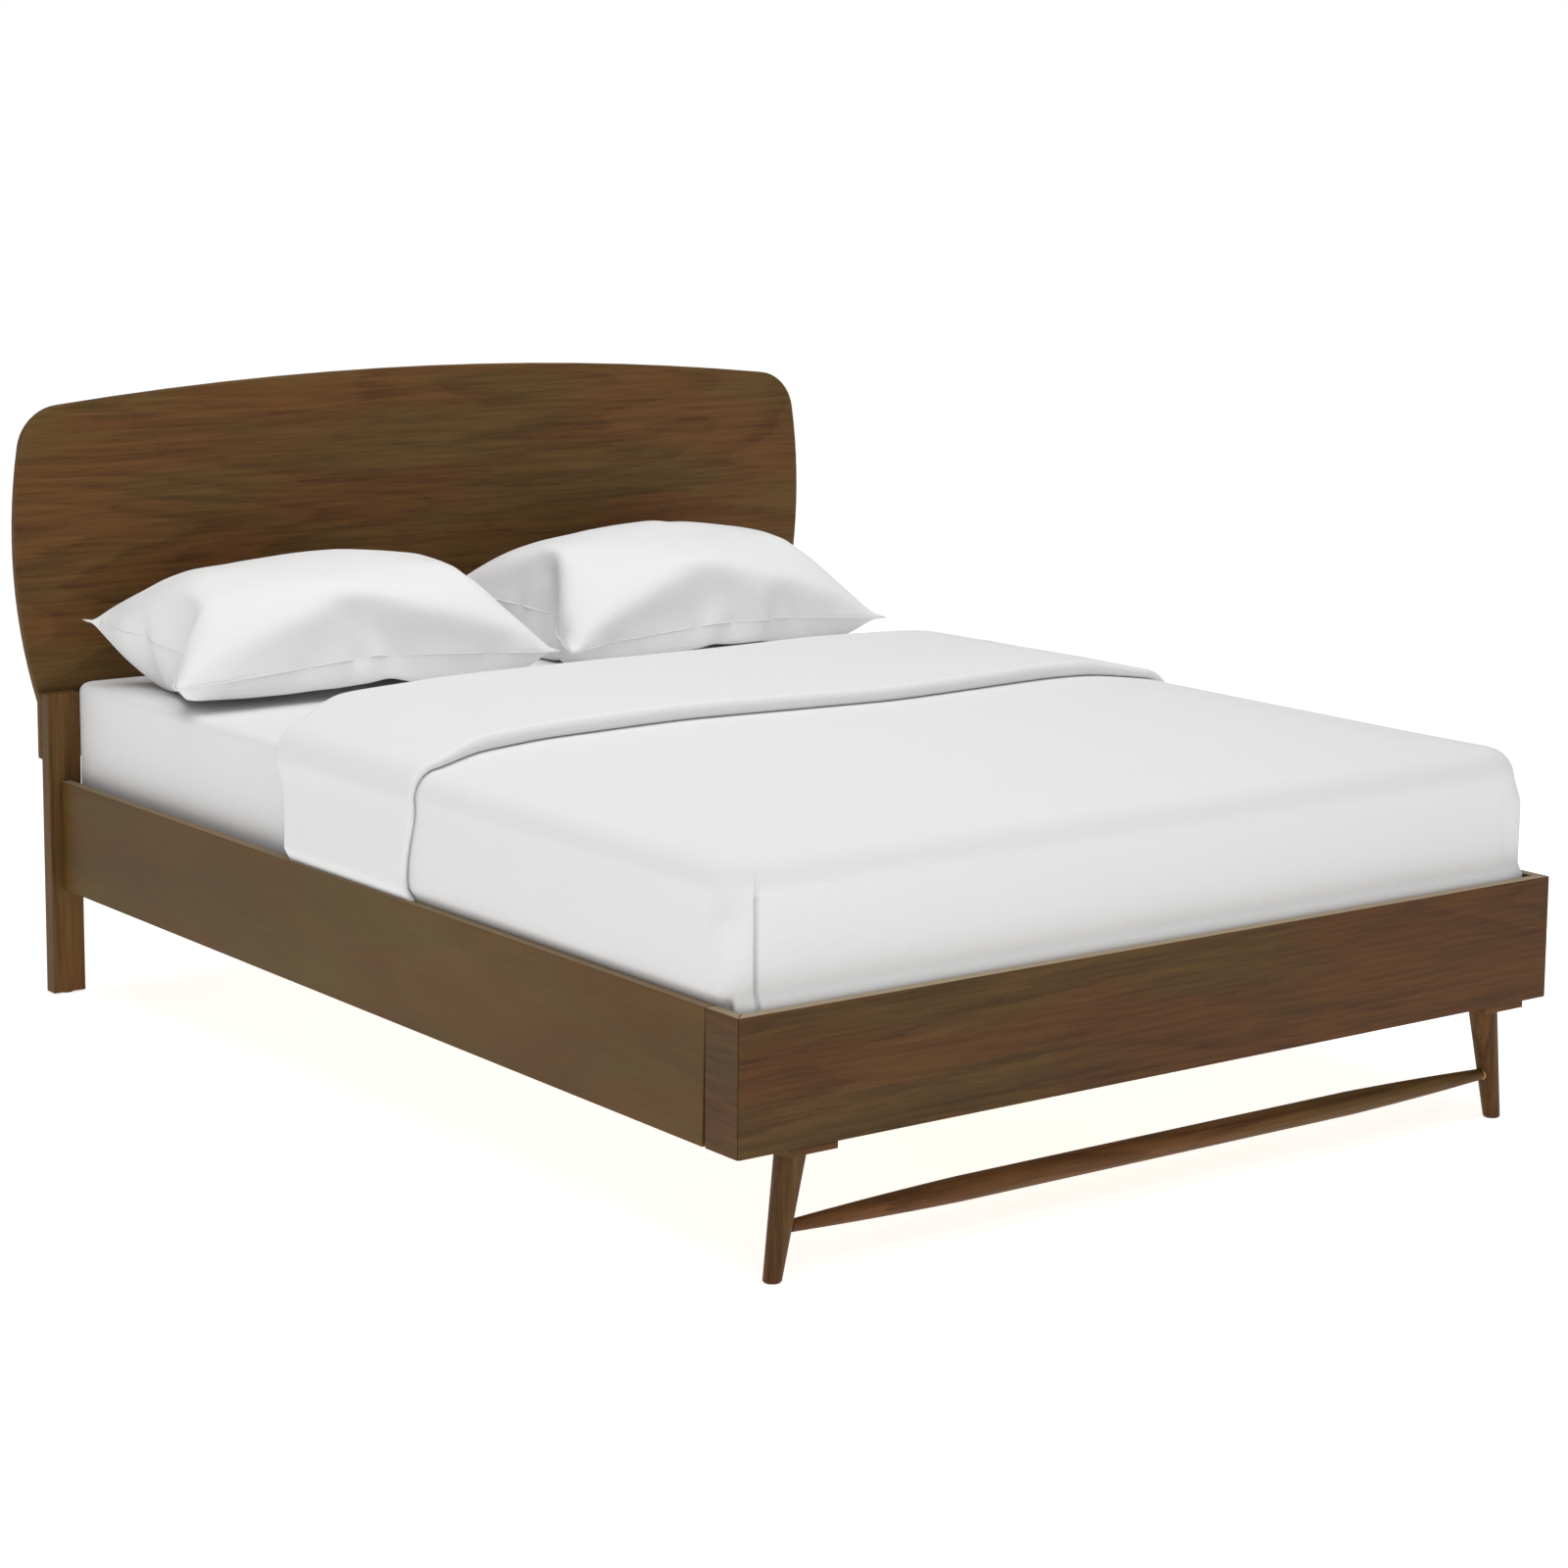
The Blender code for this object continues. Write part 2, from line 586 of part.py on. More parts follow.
def mattress():
    half = MATTRESS_WIDTH / 2
    y = (MATTRESS_HEAD - MATTRESS_LENGTH, MATTRESS_HEAD)
    z = (MATTRESS_BOTTOM, MATTRESS_TOP)
    edge = MATTRESS_EDGE
    rounded_slab("mattress", (-half, half), y, z, MATTRESS_CORNER, "mattress_tick", edge, edge)


def fitted_sheet():
    """A thin cover over the mattress's top and sides, open underneath."""
    half = MATTRESS_WIDTH / 2 + GAP
    foot, head = MATTRESS_HEAD - MATTRESS_LENGTH - GAP, MATTRESS_HEAD + GAP
    out = SHEET_THICK
    outer = rounded_slab(
        "fitted_sheet",
        (-half - out, half + out),
        (foot - out, head + out),
        (MATTRESS_BOTTOM + 0.004, SHEET_TOP),
        MATTRESS_CORNER + out,
        "sheet_cotton",
        MATTRESS_EDGE + out,
    )
    inner = rounded_slab(
        "fitted_sheet_inside",
        (-half, half),
        (foot, head),
        (MATTRESS_BOTTOM - 0.020, SHEET_TOP - out),
        MATTRESS_CORNER,
        None,
        MATTRESS_EDGE,
    )
    cut(outer, inner)


def duvet():
    """The duvet over the foot and sides of the bed, with its head end folded back on itself."""
    wide = DUVET_HALF_WIDTH
    tucked = INNER_X - 0.001
    plan_corner = 0.055
    body = rounded_slab(
        "duvet",
        (-wide, wide),
        (DUVET_FOOT, DUVET_HEAD),
        (0.394, DUVET_TOP),
        plan_corner,
        "duvet_cotton",
        0.045,
    )
    skirt = rounded_slab(
        "duvet_skirt",
        (-tucked, tucked),
        (DUVET_FOOT, DUVET_HEAD - 0.010),
        (0.345, 0.420),
        plan_corner,
        None,
    )
    fold = rounded_slab(
        "duvet_fold",
        (-wide - 0.012, wide + 0.012),
        (DUVET_FOLD_FROM, DUVET_HEAD + 0.006),
        (0.405, DUVET_FOLD_TOP),
        0.030,
        None,
        0.020,
    )
    joined(body, skirt)
    joined(body, fold)
    clear = MATTRESS_WIDTH / 2 + GAP + SHEET_THICK + GAP
    foot = MATTRESS_HEAD - MATTRESS_LENGTH - 2 * GAP - SHEET_THICK
    hollow = rounded_slab(
        "duvet_hollow",
        (-clear, clear),
        (foot, DUVET_HEAD + 0.100),
        (0.300, SHEET_TOP + GAP),
        plan_corner,
        None,
    )
    cut(body, hollow)


def pillow(name, x, y, yaw):
    """A crowned pad that rests on the sheet, its back edge propped up by the headboard."""
    columns, rows = 14, 10
    front_rim, back_rim = 0.042, 0.112        # heights of the edges above the sheet
    above, below = 0.098, 0.110
    lowest = SHEET_TOP + GAP
    shape = bmesh.new()
    turn = Matrix.Rotation(math.radians(yaw), 4, "Z")
    top, bottom = {}, {}
    for column in range(columns + 1):
        for row in range(rows + 1):
            u = math.sin(math.pi / 2 * (2 * column / columns - 1))
            v = math.sin(math.pi / 2 * (2 * row / rows - 1))
            swell = (1 - u**4) ** 0.6 * (1 - v**4) ** 0.6
            flat = turn @ Vector((
                u * PILLOW_LENGTH / 2 * (1 - 0.05 * (1 - v * v)),
                v * PILLOW_WIDTH / 2 * (1 - 0.06 * (1 - u * u)),
                0,
            ))
            middle = front_rim + (back_rim - front_rim) * (v + 1) / 2
            at = (x + flat.x, along(y) + flat.y)
            key = (column, row)
            top[key] = shape.verts.new((*at, lowest + middle + above * swell))
            on_rim = column in (0, columns) or row in (0, rows)
            if on_rim:
                bottom[key] = top[key]
            else:
                drop = max(middle - below * swell, 0.0)
                bottom[key] = shape.verts.new((*at, lowest + drop))
    for column in range(columns):
        for row in range(rows):
            keys = ((column, row), (column + 1, row), (column + 1, row + 1), (column, row + 1))
            shape.faces.new([top[key] for key in keys])
            shape.faces.new([bottom[key] for key in reversed(keys)])
    add_piece(name, shape, "pillow_cotton", smooth=True)


def bedding():
    mattress()
    fitted_sheet()
    duvet()
    pillow("pillow_left", -0.388, 1.812, -5.0)
    pillow("pillow_right", 0.385, 1.825, 2.0)


def build_bed():
    clear_scene()
    headboard()
    footboard()
    rails()
    front_legs()
    slats()
    centre_support()
    bedding()


build_bed()
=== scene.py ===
"""Looks of a platform bed with a rounded headboard panel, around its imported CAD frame.

The wood, metal and plastic pieces keep their CAD shape and get grained or worn materials. The bar between
the front legs, the mattress and the bedding are new, finer meshes that stand for their CAD solids.
Metres, +Z up, X across the bed, -Y at the foot and +Y at the head.
"""

import math

import bmesh
import bpy
import numpy as np
from mathutils import Matrix, Vector, noise


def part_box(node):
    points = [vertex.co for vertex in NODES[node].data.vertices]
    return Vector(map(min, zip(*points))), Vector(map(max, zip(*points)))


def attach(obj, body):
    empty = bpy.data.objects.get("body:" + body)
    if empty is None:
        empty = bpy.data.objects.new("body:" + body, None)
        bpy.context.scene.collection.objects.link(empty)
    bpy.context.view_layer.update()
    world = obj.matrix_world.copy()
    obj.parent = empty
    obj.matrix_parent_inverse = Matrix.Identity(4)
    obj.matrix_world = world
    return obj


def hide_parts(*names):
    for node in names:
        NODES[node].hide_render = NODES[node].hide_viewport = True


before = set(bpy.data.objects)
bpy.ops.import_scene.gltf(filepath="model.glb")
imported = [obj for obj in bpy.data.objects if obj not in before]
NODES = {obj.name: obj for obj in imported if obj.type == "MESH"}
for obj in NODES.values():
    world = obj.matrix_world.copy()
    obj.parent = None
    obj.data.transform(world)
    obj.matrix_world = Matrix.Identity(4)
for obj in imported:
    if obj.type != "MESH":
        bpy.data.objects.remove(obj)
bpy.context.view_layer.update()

# ---------------------------------------------------------------- sizes, from the frame
SHEET_LOW, SHEET_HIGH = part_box("fitted_sheet")
MATTRESS_LOW, MATTRESS_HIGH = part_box("mattress")
BOARD_LOW, BOARD_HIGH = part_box("footboard")
PANEL_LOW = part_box("headboard_panel")[0]
RAIL_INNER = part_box("side_rail_right")[0].x
RAIL_TOP = BOARD_HIGH.z
FOOT_FACE = BOARD_LOW.y

SHEET_TOP = SHEET_HIGH.z
BED_HALF = SHEET_HIGH.x             # half the width over the fitted sheet
PLAN_CORNER = 0.0440                # the sheet's upright corners, in plan
TOP_EDGE = 0.0162                   # its top edge
STRAIGHT = BED_HALF - PLAN_CORNER   # where its sides start to round, from the middle
FOOT_STRAIGHT = -(SHEET_LOW.y + PLAN_CORNER)     # and its ends, as -y
HEAD_STRAIGHT = -(SHEET_HIGH.y - PLAN_CORNER)
CLEAR = 0.0005                      # air between one layer of bedding and the next

LEG_SETBACK = 0.030                 # the front legs' axes, behind the footboard's face
BAR_HEIGHT = 0.0745                 # the bar between the front legs
BAR_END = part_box("stretcher")[1].x
BAR_SHOULDER = BAR_END - 0.014      # where its tenons start


def along(distance):
    """World y of a place given by its distance from the footboard's face."""
    return FOOT_FACE + distance


# ---------------------------------------------------------------- node helpers
def add(tree, kind, inputs=None, **settings):
    """A node with its settings; each input is a number, a colour or another node's socket."""
    made = tree.nodes.new(kind)
    for key, value in settings.items():
        setattr(made, key, value)
    for key, value in (inputs or {}).items():
        if isinstance(value, bpy.types.NodeSocket):
            tree.links.new(value, made.inputs[key])
        else:
            made.inputs[key].default_value = value
    return made


def blank(name, roughness, metallic=0.0, specular=0.5, coat=0.0):
    made = bpy.data.materials.new(name)
    made.use_nodes = True
    tree = made.node_tree
    shader = tree.nodes["Principled BSDF"]
    shader.inputs["Roughness"].default_value = roughness
    shader.inputs["Metallic"].default_value = metallic
    shader.inputs["Specular IOR Level"].default_value = specular
    shader.inputs["Coat Weight"].default_value = coat
    return made, tree, shader


def object_place(tree):
    return add(tree, "ShaderNodeTexCoord").outputs["Object"]


def stretched(tree, place, scale, shift=(0, 0, 0), turn=(0, 0, 0)):
    inputs = {"Vector": place, "Scale": scale, "Location": shift, "Rotation": turn}
    return add(tree, "ShaderNodeMapping", inputs).outputs["Vector"]


def cloud(tree, place, scale=1.0, detail=2.0, roughness=0.5, distortion=0.0):
    inputs = {
        "Vector": place,
        "Scale": scale,
        "Detail": detail,
        "Roughness": roughness,
        "Distortion": distortion,
    }
    return add(tree, "ShaderNodeTexNoise", inputs).outputs["Fac"]


def sums(tree, operation, a, b=0.0, c=0.0, clamp=False):
    made = add(tree, "ShaderNodeMath", {0: a, 1: b, 2: c}, operation=operation, use_clamp=clamp)
    return made.outputs[0]


def spread(tree, value, low, high, to_low=0.0, to_high=1.0):
    inputs = {"Value": value, "From Min": low, "From Max": high, "To Min": to_low, "To Max": to_high}
    made = add(tree, "ShaderNodeMapRange", inputs, interpolation_type="SMOOTHSTEP")
    return made.outputs["Result"]


def mixed(tree, share, a, b, blend="MIX"):
    made = add(tree, "ShaderNodeMix", data_type="RGBA", blend_type=blend)
    for index, value in ((0, share), (6, a), (7, b)):
        if isinstance(value, bpy.types.NodeSocket):
            tree.links.new(value, made.inputs[index])
        elif index == 0:
            made.inputs[index].default_value = value
        else:
            made.inputs[index].default_value = (*value, 1.0)
    return made.outputs[2]


def bumped(tree, shader, height, distance, strength=1.0):
    inputs = {"Height": height, "Distance": distance, "Strength": strength}
    tree.links.new(add(tree, "ShaderNodeBump", inputs).outputs["Normal"], shader.inputs["Normal"])


# ---------------------------------------------------------------- materials
# How to turn the wood so that its own X runs along the grain.
GRAIN_TURN = {"x": (0, 0, 0), "y": (0, 0, math.pi / 2), "z": (0, math.pi / 2, 0)}
# Each wood's dark, middle and light tone.
WALNUT = ((0.056, 0.027, 0.009), (0.107, 0.053, 0.0165), (0.150, 0.077, 0.026))
# Painted shade: the next tones are the headboard's walnut made about a fifth darker, standing in for how
# the footboard and its returns are lit.
WALNUT_FOOT_SHADED = ((0.045, 0.020, 0.006), (0.083, 0.039, 0.0120), (0.120, 0.058, 0.018))
WALNUT_RAIL = ((0.070, 0.034, 0.009), (0.098, 0.052, 0.0125), (0.126, 0.073, 0.019))
WALNUT_SOLID = ((0.050, 0.021, 0.006), (0.104, 0.048, 0.0145), (0.160, 0.080, 0.026))
PINE = ((0.400, 0.235, 0.095), (0.600, 0.430, 0.240), (0.690, 0.540, 0.340))
# Painted highlight: the pale tan that upward faces of the boards are drawn toward, standing in for the
# light from above and its grazing reflection.
TOP_HIGHLIGHT_TAN = (0.42, 0.33, 0.22)
RAW_WOOD = (0.62, 0.33, 0.12)
RAW_DEPTH = 0.008                   # how far past the bar's shoulder the unstained spot goes


def wood(name, tones, grain, seed, figure=0.45, rings=24.0, pores=1.0, patches=0.30, top_highlight=0.0,
         roughness=0.54, specular=0.14, raw_spot=None):
    """Stained wood: contour lines of a stretched noise make the cathedral figure, with pores along it.

    figure is the strength of the growth rings, rings how many there are, pores the strength of the
    short dark streaks, patches that of the broad changes of tone, and top_highlight the strength of a
    painted highlight that makes an upward face paler, standing in for the light from above. raw_spot is
    the (y, z, radius) of an unstained spot round a joint, on the side of a leg that faces the bar.
    """
    dark, middle, light = tones
    made, tree, shader = blank(name, roughness, specular=specular)
    place = stretched(tree, object_place(tree), (1, 1, 1), (0, 0, 0), GRAIN_TURN[grain])
    shift = (seed * 3.17, seed * 1.93, seed * 0.71)
    swirl = cloud(tree, stretched(tree, place, (0.45, 3.0, 3.0), shift), 1.0, 2.0, 0.40, 0.20)
    wobble = cloud(tree, stretched(tree, place, (4.0, 30.0, 30.0), shift), 1.0, 2.0, 0.5)
    rise = sums(tree, "MULTIPLY_ADD", wobble, 0.045, swirl)
    ring = sums(tree, "FRACT", sums(tree, "MULTIPLY", rise, rings))
    late = sums(tree, "MULTIPLY", spread(tree, ring, 0.25, 0.88), spread(tree, ring, 1.0, 0.90))
    streak = cloud(tree, stretched(tree, place, (6.0, 145.0, 145.0), shift), 1.0, 3.0, 0.65)
    fine = cloud(tree, stretched(tree, place, (26.0, 850.0, 850.0), shift), 1.0, 2.0, 0.6)
    tone = cloud(tree, stretched(tree, place, (1.3, 4.2, 4.2), shift), 1.0, 3.0, 0.55)
    warm = cloud(tree, stretched(tree, place, (2.1, 9.0, 9.0), (seed, 4.0, 2.0)), 1.0, 2.0, 0.5)

    level = sums(tree, "MULTIPLY_ADD", sums(tree, "SUBTRACT", tone, 0.5), 1.5 * patches, 0.52)
    level = sums(tree, "MULTIPLY_ADD", late, -0.42 * figure, sums(tree, "ADD", level, 0.13 * figure))
    level = sums(tree, "MULTIPLY_ADD", sums(tree, "SUBTRACT", streak, 0.5), 1.5 * pores, level)
    ramp = add(tree, "ShaderNodeValToRGB", {"Fac": level})
    stops = ramp.color_ramp.elements
    stops[0].position, stops[0].color = 0.0, (*dark, 1)
    stops[1].position, stops[1].color = 1.0, (*light, 1)
    stops.new(0.5).color = (*middle, 1)
    colour = ramp.outputs["Color"]
    reddish = mixed(tree, 1.0, colour, (1.08, 0.94, 0.90), "MULTIPLY")
    olive = mixed(tree, 1.0, colour, (0.95, 1.04, 0.98), "MULTIPLY")
    colour = mixed(tree, spread(tree, warm, 0.38, 0.62), olive, reddish)
    pore = sums(tree, "MULTIPLY", spread(tree, fine, 0.56, 0.70), spread(tree, late, 0.0, 1.0, 0.45, 1.0))
    depth = sums(tree, "MULTIPLY", pore, 0.40 * pores)
    colour = mixed(tree, depth, colour, tuple(0.35 * value for value in dark))
    # Painted highlight: faces that point up are drawn paler and tan, standing in for the light from above
    # and the reflection it gives.
    if top_highlight:
        normal = add(tree, "ShaderNodeNewGeometry").outputs["Normal"]
        upward = add(tree, "ShaderNodeSeparateXYZ", {0: normal}).outputs["Z"]
        top_highlight_share = sums(tree, "MULTIPLY", spread(tree, upward, 0.75, 0.98), top_highlight)
        colour = mixed(tree, top_highlight_share, colour, TOP_HIGHLIGHT_TAN)
    if raw_spot:
        centre_y, centre_z, radius = raw_spot
        at = add(tree, "ShaderNodeSeparateXYZ", {0: object_place(tree)})
        aside = sums(tree, "SUBTRACT", at.outputs["Y"], centre_y)
        above = sums(tree, "SUBTRACT", at.outputs["Z"], centre_z)
        aside_squared = sums(tree, "MULTIPLY", aside, aside)
        above_squared = sums(tree, "MULTIPLY", above, above)
        reach = sums(tree, "SQRT", sums(tree, "ADD", aside_squared, above_squared))
        away = sums(tree, "SUBTRACT", reach, radius)
        beyond = sums(tree, "SUBTRACT", sums(tree, "ABSOLUTE", at.outputs["X"]), BAR_SHOULDER)
        inside = sums(tree, "LESS_THAN", beyond, RAW_DEPTH)
        spot = sums(tree, "MULTIPLY", spread(tree, away, 0.0012, 0.0002), inside)
        colour = mixed(tree, spot, colour, RAW_WOOD)
    tree.links.new(colour, shader.inputs["Base Color"])
    gloss = sums(tree, "MULTIPLY_ADD", streak, 0.16, roughness - 0.08)
    tree.links.new(gloss, shader.inputs["Roughness"])
    height = sums(tree, "MULTIPLY_ADD", pore, -0.8, sums(tree, "MULTIPLY", streak, 0.5))
    bumped(tree, shader, height, 0.0003, 0.5)
    return made


def painted_steel(name):
    """Black powder coat, with its fine orange-peel texture and worn, brighter spots."""
    made, tree, shader = blank(name, 0.5, 0.6)
    place = object_place(tree)
    peel = cloud(tree, place, 900.0, 2.0)
    wear = cloud(tree, place, 60.0, 4.0, 0.65)
    colour = mixed(tree, spread(tree, wear, 0.62, 0.75), (0.022, 0.022, 0.024), (0.09, 0.09, 0.092))
    tree.links.new(colour, shader.inputs["Base Color"])
    tree.links.new(spread(tree, wear, 0.3, 0.7, 0.55, 0.38), shader.inputs["Roughness"])
    bumped(tree, shader, peel, 0.0002, 0.4)
    return made


def moulded_plastic(name):
    """Black nylon with a fine spark-eroded texture and scuffs near the floor."""
    made, tree, shader = blank(name, 0.5)
    place = object_place(tree)
    grain = cloud(tree, place, 1400.0, 2.0)
    scuff = cloud(tree, stretched(tree, place, (80, 80, 300)), 1.0, 4.0, 0.6)
    colour = mixed(tree, spread(tree, scuff, 0.55, 0.72), (0.018, 0.018, 0.019), (0.050, 0.050, 0.050))
    tree.links.new(colour, shader.inputs["Base Color"])
    tree.links.new(spread(tree, scuff, 0.3, 0.7, 0.42, 0.62), shader.inputs["Roughness"])
    bumped(tree, shader, grain, 0.0001, 0.5)
    return made


def felt(name):
    made, tree, shader = blank(name, 0.95, specular=0.2)
    place = object_place(tree)
    fibre = cloud(tree, place, 1500.0, 4.0, 0.7, 0.6)
    colour = mixed(tree, fibre, (0.035, 0.022, 0.014), (0.105, 0.072, 0.048))
    tree.links.new(colour, shader.inputs["Base Color"])
    shader.inputs["Sheen Weight"].default_value = 0.4
    bumped(tree, shader, fibre, 0.0006, 0.8)
    return made


def webbing(name):
    """Flat woven tape with ribs that cross in two directions."""
    made, tree, shader = blank(name, 0.9, specular=0.2)
    place = object_place(tree)
    ribs = add(tree, "ShaderNodeTexWave", {"Vector": place, "Scale": 160.0, "Distortion": 0.6},
               bands_direction="Y").outputs["Fac"]
    cross = add(tree, "ShaderNodeTexWave", {"Vector": place, "Scale": 110.0, "Distortion": 0.4},
                bands_direction="X").outputs["Fac"]
    weave = sums(tree, "MULTIPLY", ribs, cross)
    colour = mixed(tree, weave, (0.50, 0.49, 0.45), (0.76, 0.75, 0.70))
    tree.links.new(colour, shader.inputs["Base Color"])
    bumped(tree, shader, weave, 0.0006, 0.8)
    return made


def cotton(name, white, thread=2600.0, crease=0.5, crease_scale=26.0, warmth=0.0):
    """Plain woven cotton: crossed threads, a slight slub, and shallow creases."""
    made, tree, shader = blank(name, 0.88, specular=0.25)
    shader.inputs["Sheen Weight"].default_value = 0.12
    shader.inputs["Sheen Roughness"].default_value = 0.5
    place = object_place(tree)
    slub = cloud(tree, stretched(tree, place, (60, 420, 420)), 1.0, 3.0, 0.6)
    weft = cloud(tree, stretched(tree, place, (thread, 90, 90)), 1.0, 1.0)
    warp = cloud(tree, stretched(tree, place, (90, thread, 90)), 1.0, 1.0)
    rumple = cloud(tree, place, crease_scale, 3.0, 0.45, 0.4)
    broad = cloud(tree, place, 5.0, 2.0)
    tint = tuple(white * (1 - warmth * share) for share in (0.0, 0.35, 1.0))
    shade = tuple(0.972 * value for value in tint)
    colour = mixed(tree, spread(tree, slub, 0.35, 0.65), shade, tint)
    colour = mixed(tree, spread(tree, broad, 0.3, 0.7), tuple(0.985 * v for v in tint), colour)
    tree.links.new(colour, shader.inputs["Base Color"])
    threads = sums(tree, "ADD", weft, warp)
    fine = add(tree, "ShaderNodeBump", {"Height": threads, "Distance": 0.0003, "Strength": 0.35})
    inputs = {"Height": rumple, "Distance": 0.004, "Strength": crease, "Normal": fine.outputs["Normal"]}
    tree.links.new(add(tree, "ShaderNodeBump", inputs).outputs["Normal"], shader.inputs["Normal"])
    return made


def ticking(name):
    """Off-white mattress damask: a fine diamond weave with a slight lustre."""
    made, tree, shader = blank(name, 0.8, specular=0.3)
    shader.inputs["Sheen Weight"].default_value = 0.15
    place = object_place(tree)
    first = add(tree, "ShaderNodeTexWave", {"Vector": place, "Scale": 22.0, "Distortion": 1.2},
                bands_direction="DIAGONAL").outputs["Fac"]
    turned = stretched(tree, place, (1, -1, 1))
    second = add(tree, "ShaderNodeTexWave", {"Vector": turned, "Scale": 22.0, "Distortion": 1.2},
                 bands_direction="DIAGONAL").outputs["Fac"]
    weave = sums(tree, "MULTIPLY", first, second)
    colour = mixed(tree, weave, (0.70, 0.69, 0.66), (0.82, 0.815, 0.79))
    tree.links.new(colour, shader.inputs["Base Color"])
    tree.links.new(spread(tree, weave, 0.2, 0.8, 0.88, 0.66), shader.inputs["Roughness"])
    bumped(tree, shader, weave, 0.0008, 0.5)
    return made


def dress(node, made):
    """Gives a CAD node its material."""
    mesh = NODES[node].data
    mesh.materials.clear()
    mesh.materials.append(made)


def dress_frame():
    """Materials of the CAD nodes that stay as they are."""
    dress("headboard_panel", wood("headboard_veneer", WALNUT, "x", 1.3))
    # Painted highlight: the footboard and its returns have their upward faces drawn paler.
    dress("footboard", wood("footboard_veneer", WALNUT_FOOT_SHADED, "x", 6.1, top_highlight=0.85))
    for index, side in enumerate(("left", "right")):
        seed = 2.0 + 3.7 * index
        dress(f"footboard_return_{side}",
              wood(f"return_veneer_{side}", WALNUT_FOOT_SHADED, "y", seed, top_highlight=0.7))
        dress(f"side_rail_{side}",
              wood(f"rail_veneer_{side}", WALNUT_RAIL, "y", seed, 0.25, 8.0, 0.55, 1.1, 0.35))
        dress(f"headboard_leg_{side}",
              wood(f"head_leg_wood_{side}", WALNUT_SOLID, "z", seed + 1.0, 0.5, 9.0))
        dress(f"leg_plate_{side}", wood(f"plate_wood_{side}", WALNUT_SOLID, "x", seed + 2.0, 0.4))
        dress(f"slat_cleat_{side}", wood(f"cleat_pine_{side}", PINE, "y", seed, 0.5, 7.0, 0.3))
        dress(f"corner_block_{side}", wood(f"block_pine_{side}", PINE, "z", seed, 0.6, 9.0, 0.3))
        joint = (along(LEG_SETBACK), BAR_HEIGHT, 0.0086)
        dress(f"front_leg_{side}",
              wood(f"front_leg_wood_{side}", WALNUT_SOLID, "z", seed + 0.4, 0.6, raw_spot=joint))
    dress("head_rail", wood("head_rail_wood", WALNUT_SOLID, "x", 8.8, 0.4))
    dress("center_beam", wood("beam_pine", PINE, "y", 4.4, 0.8, 9.0, 0.3))
    for index in range(1, 4):
        dress(f"center_leg_{index}", wood(f"post_pine_{index}", PINE, "z", 1.0 + index, 0.8, 9.0, 0.3))
    for index in range(1, 14):
        seed = 0.7 + 1.37 * index
        dress(f"slat_{index:02d}", wood(f"slat_pine_{index:02d}", PINE, "x", seed, 0.8, 9.0, 0.3))
    steel = painted_steel("black_powder_coat")
    plastic = moulded_plastic("black_nylon")
    pad = felt("brown_felt_pad")
    tape = webbing("slat_webbing")
    for node in NODES:
        if node.startswith(("rail_bracket", "beam_hanger", "headboard_bolt")):
            dress(node, steel)
        elif node.startswith("levelling_foot"):
            dress(node, plastic)
        elif "glide" in node:
            dress(node, pad)
        elif node.startswith("slat_strap"):
            dress(node, tape)


# ---------------------------------------------------------------- mesh helpers
def piece(name, mesh, made, slot, *stands_for):
    """Links a finished mesh as a piece that rides on the bed."""
    obj = bpy.data.objects.new(name, mesh)
    bpy.context.scene.collection.objects.link(obj)
    mesh.materials.clear()
    mesh.materials.append(made)
    mesh.shade_smooth()
    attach(obj, "bed")
    if stands_for:
        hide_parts(*stands_for)
    return obj


def closed_layers(name, upper, lower):
    """One closed mesh from two point grids of (rows, columns, 3) that share their border."""
    rows, columns = upper.shape[:2]
    number = np.arange(rows * columns).reshape(rows, columns)
    inner = np.full((rows, columns), -1)
    inner[1:-1, 1:-1] = rows * columns + np.arange((rows - 2) * (columns - 2)).reshape(
        rows - 2, columns - 2
    )
    below = np.where(inner < 0, number, inner)
    points = np.concatenate([upper.reshape(-1, 3), lower[1:-1, 1:-1].reshape(-1, 3)])

    def quads(grid):
        corners = (grid[:-1, :-1], grid[1:, :-1], grid[1:, 1:], grid[:-1, 1:])
        return np.stack(corners, -1).reshape(-1, 4)

    faces = np.concatenate([quads(number), quads(below)[:, ::-1]])
    mesh = bpy.data.meshes.new(name)
    mesh.from_pydata(points.tolist(), [], faces.tolist())
    outward(mesh)
    return mesh


def open_sheet(name, points):
    rows, columns = points.shape[:2]
    number = np.arange(rows * columns).reshape(rows, columns)
    corners = (number[:-1, :-1], number[1:, :-1], number[1:, 1:], number[:-1, 1:])
    faces = np.stack(corners, -1).reshape(-1, 4)
    mesh = bpy.data.meshes.new(name)
    mesh.from_pydata(points.reshape(-1, 3).tolist(), [], faces.tolist())
    outward(mesh)
    return mesh


def outward(mesh):
    """Turns every face away from the inside."""
    shape = bmesh.new()
    shape.from_mesh(mesh)
    bmesh.ops.recalc_face_normals(shape, faces=shape.faces)
    if shape.calc_volume(signed=True) < 0:
        bmesh.ops.reverse_faces(shape, faces=shape.faces)
    shape.to_mesh(mesh)
    shape.free()


def steps(*stretches):
    """Places along a line from (start, end, step) stretches that follow each other."""
    places = [stretches[0][0]]
    for start, end, step in stretches:
        count = max(1, round(abs(end - start) / step))
        places += [start + (end - start) * index / count for index in range(1, count + 1)]
    return np.array(places)


def smooth_step(low, high, value):
    share = np.clip((value - low) / (high - low), 0, 1)
    return share * share * (3 - 2 * share)


def ripple(points, scale, seed=0.0):
    """Smooth noise from about -1 to 1 at each point of an array of (..., 3)."""
    flat = points.reshape(-1, 3) * scale + seed
    values = [noise.noise(Vector(p)) for p in flat.tolist()]
    return np.array(values).reshape(points.shape[:-1])


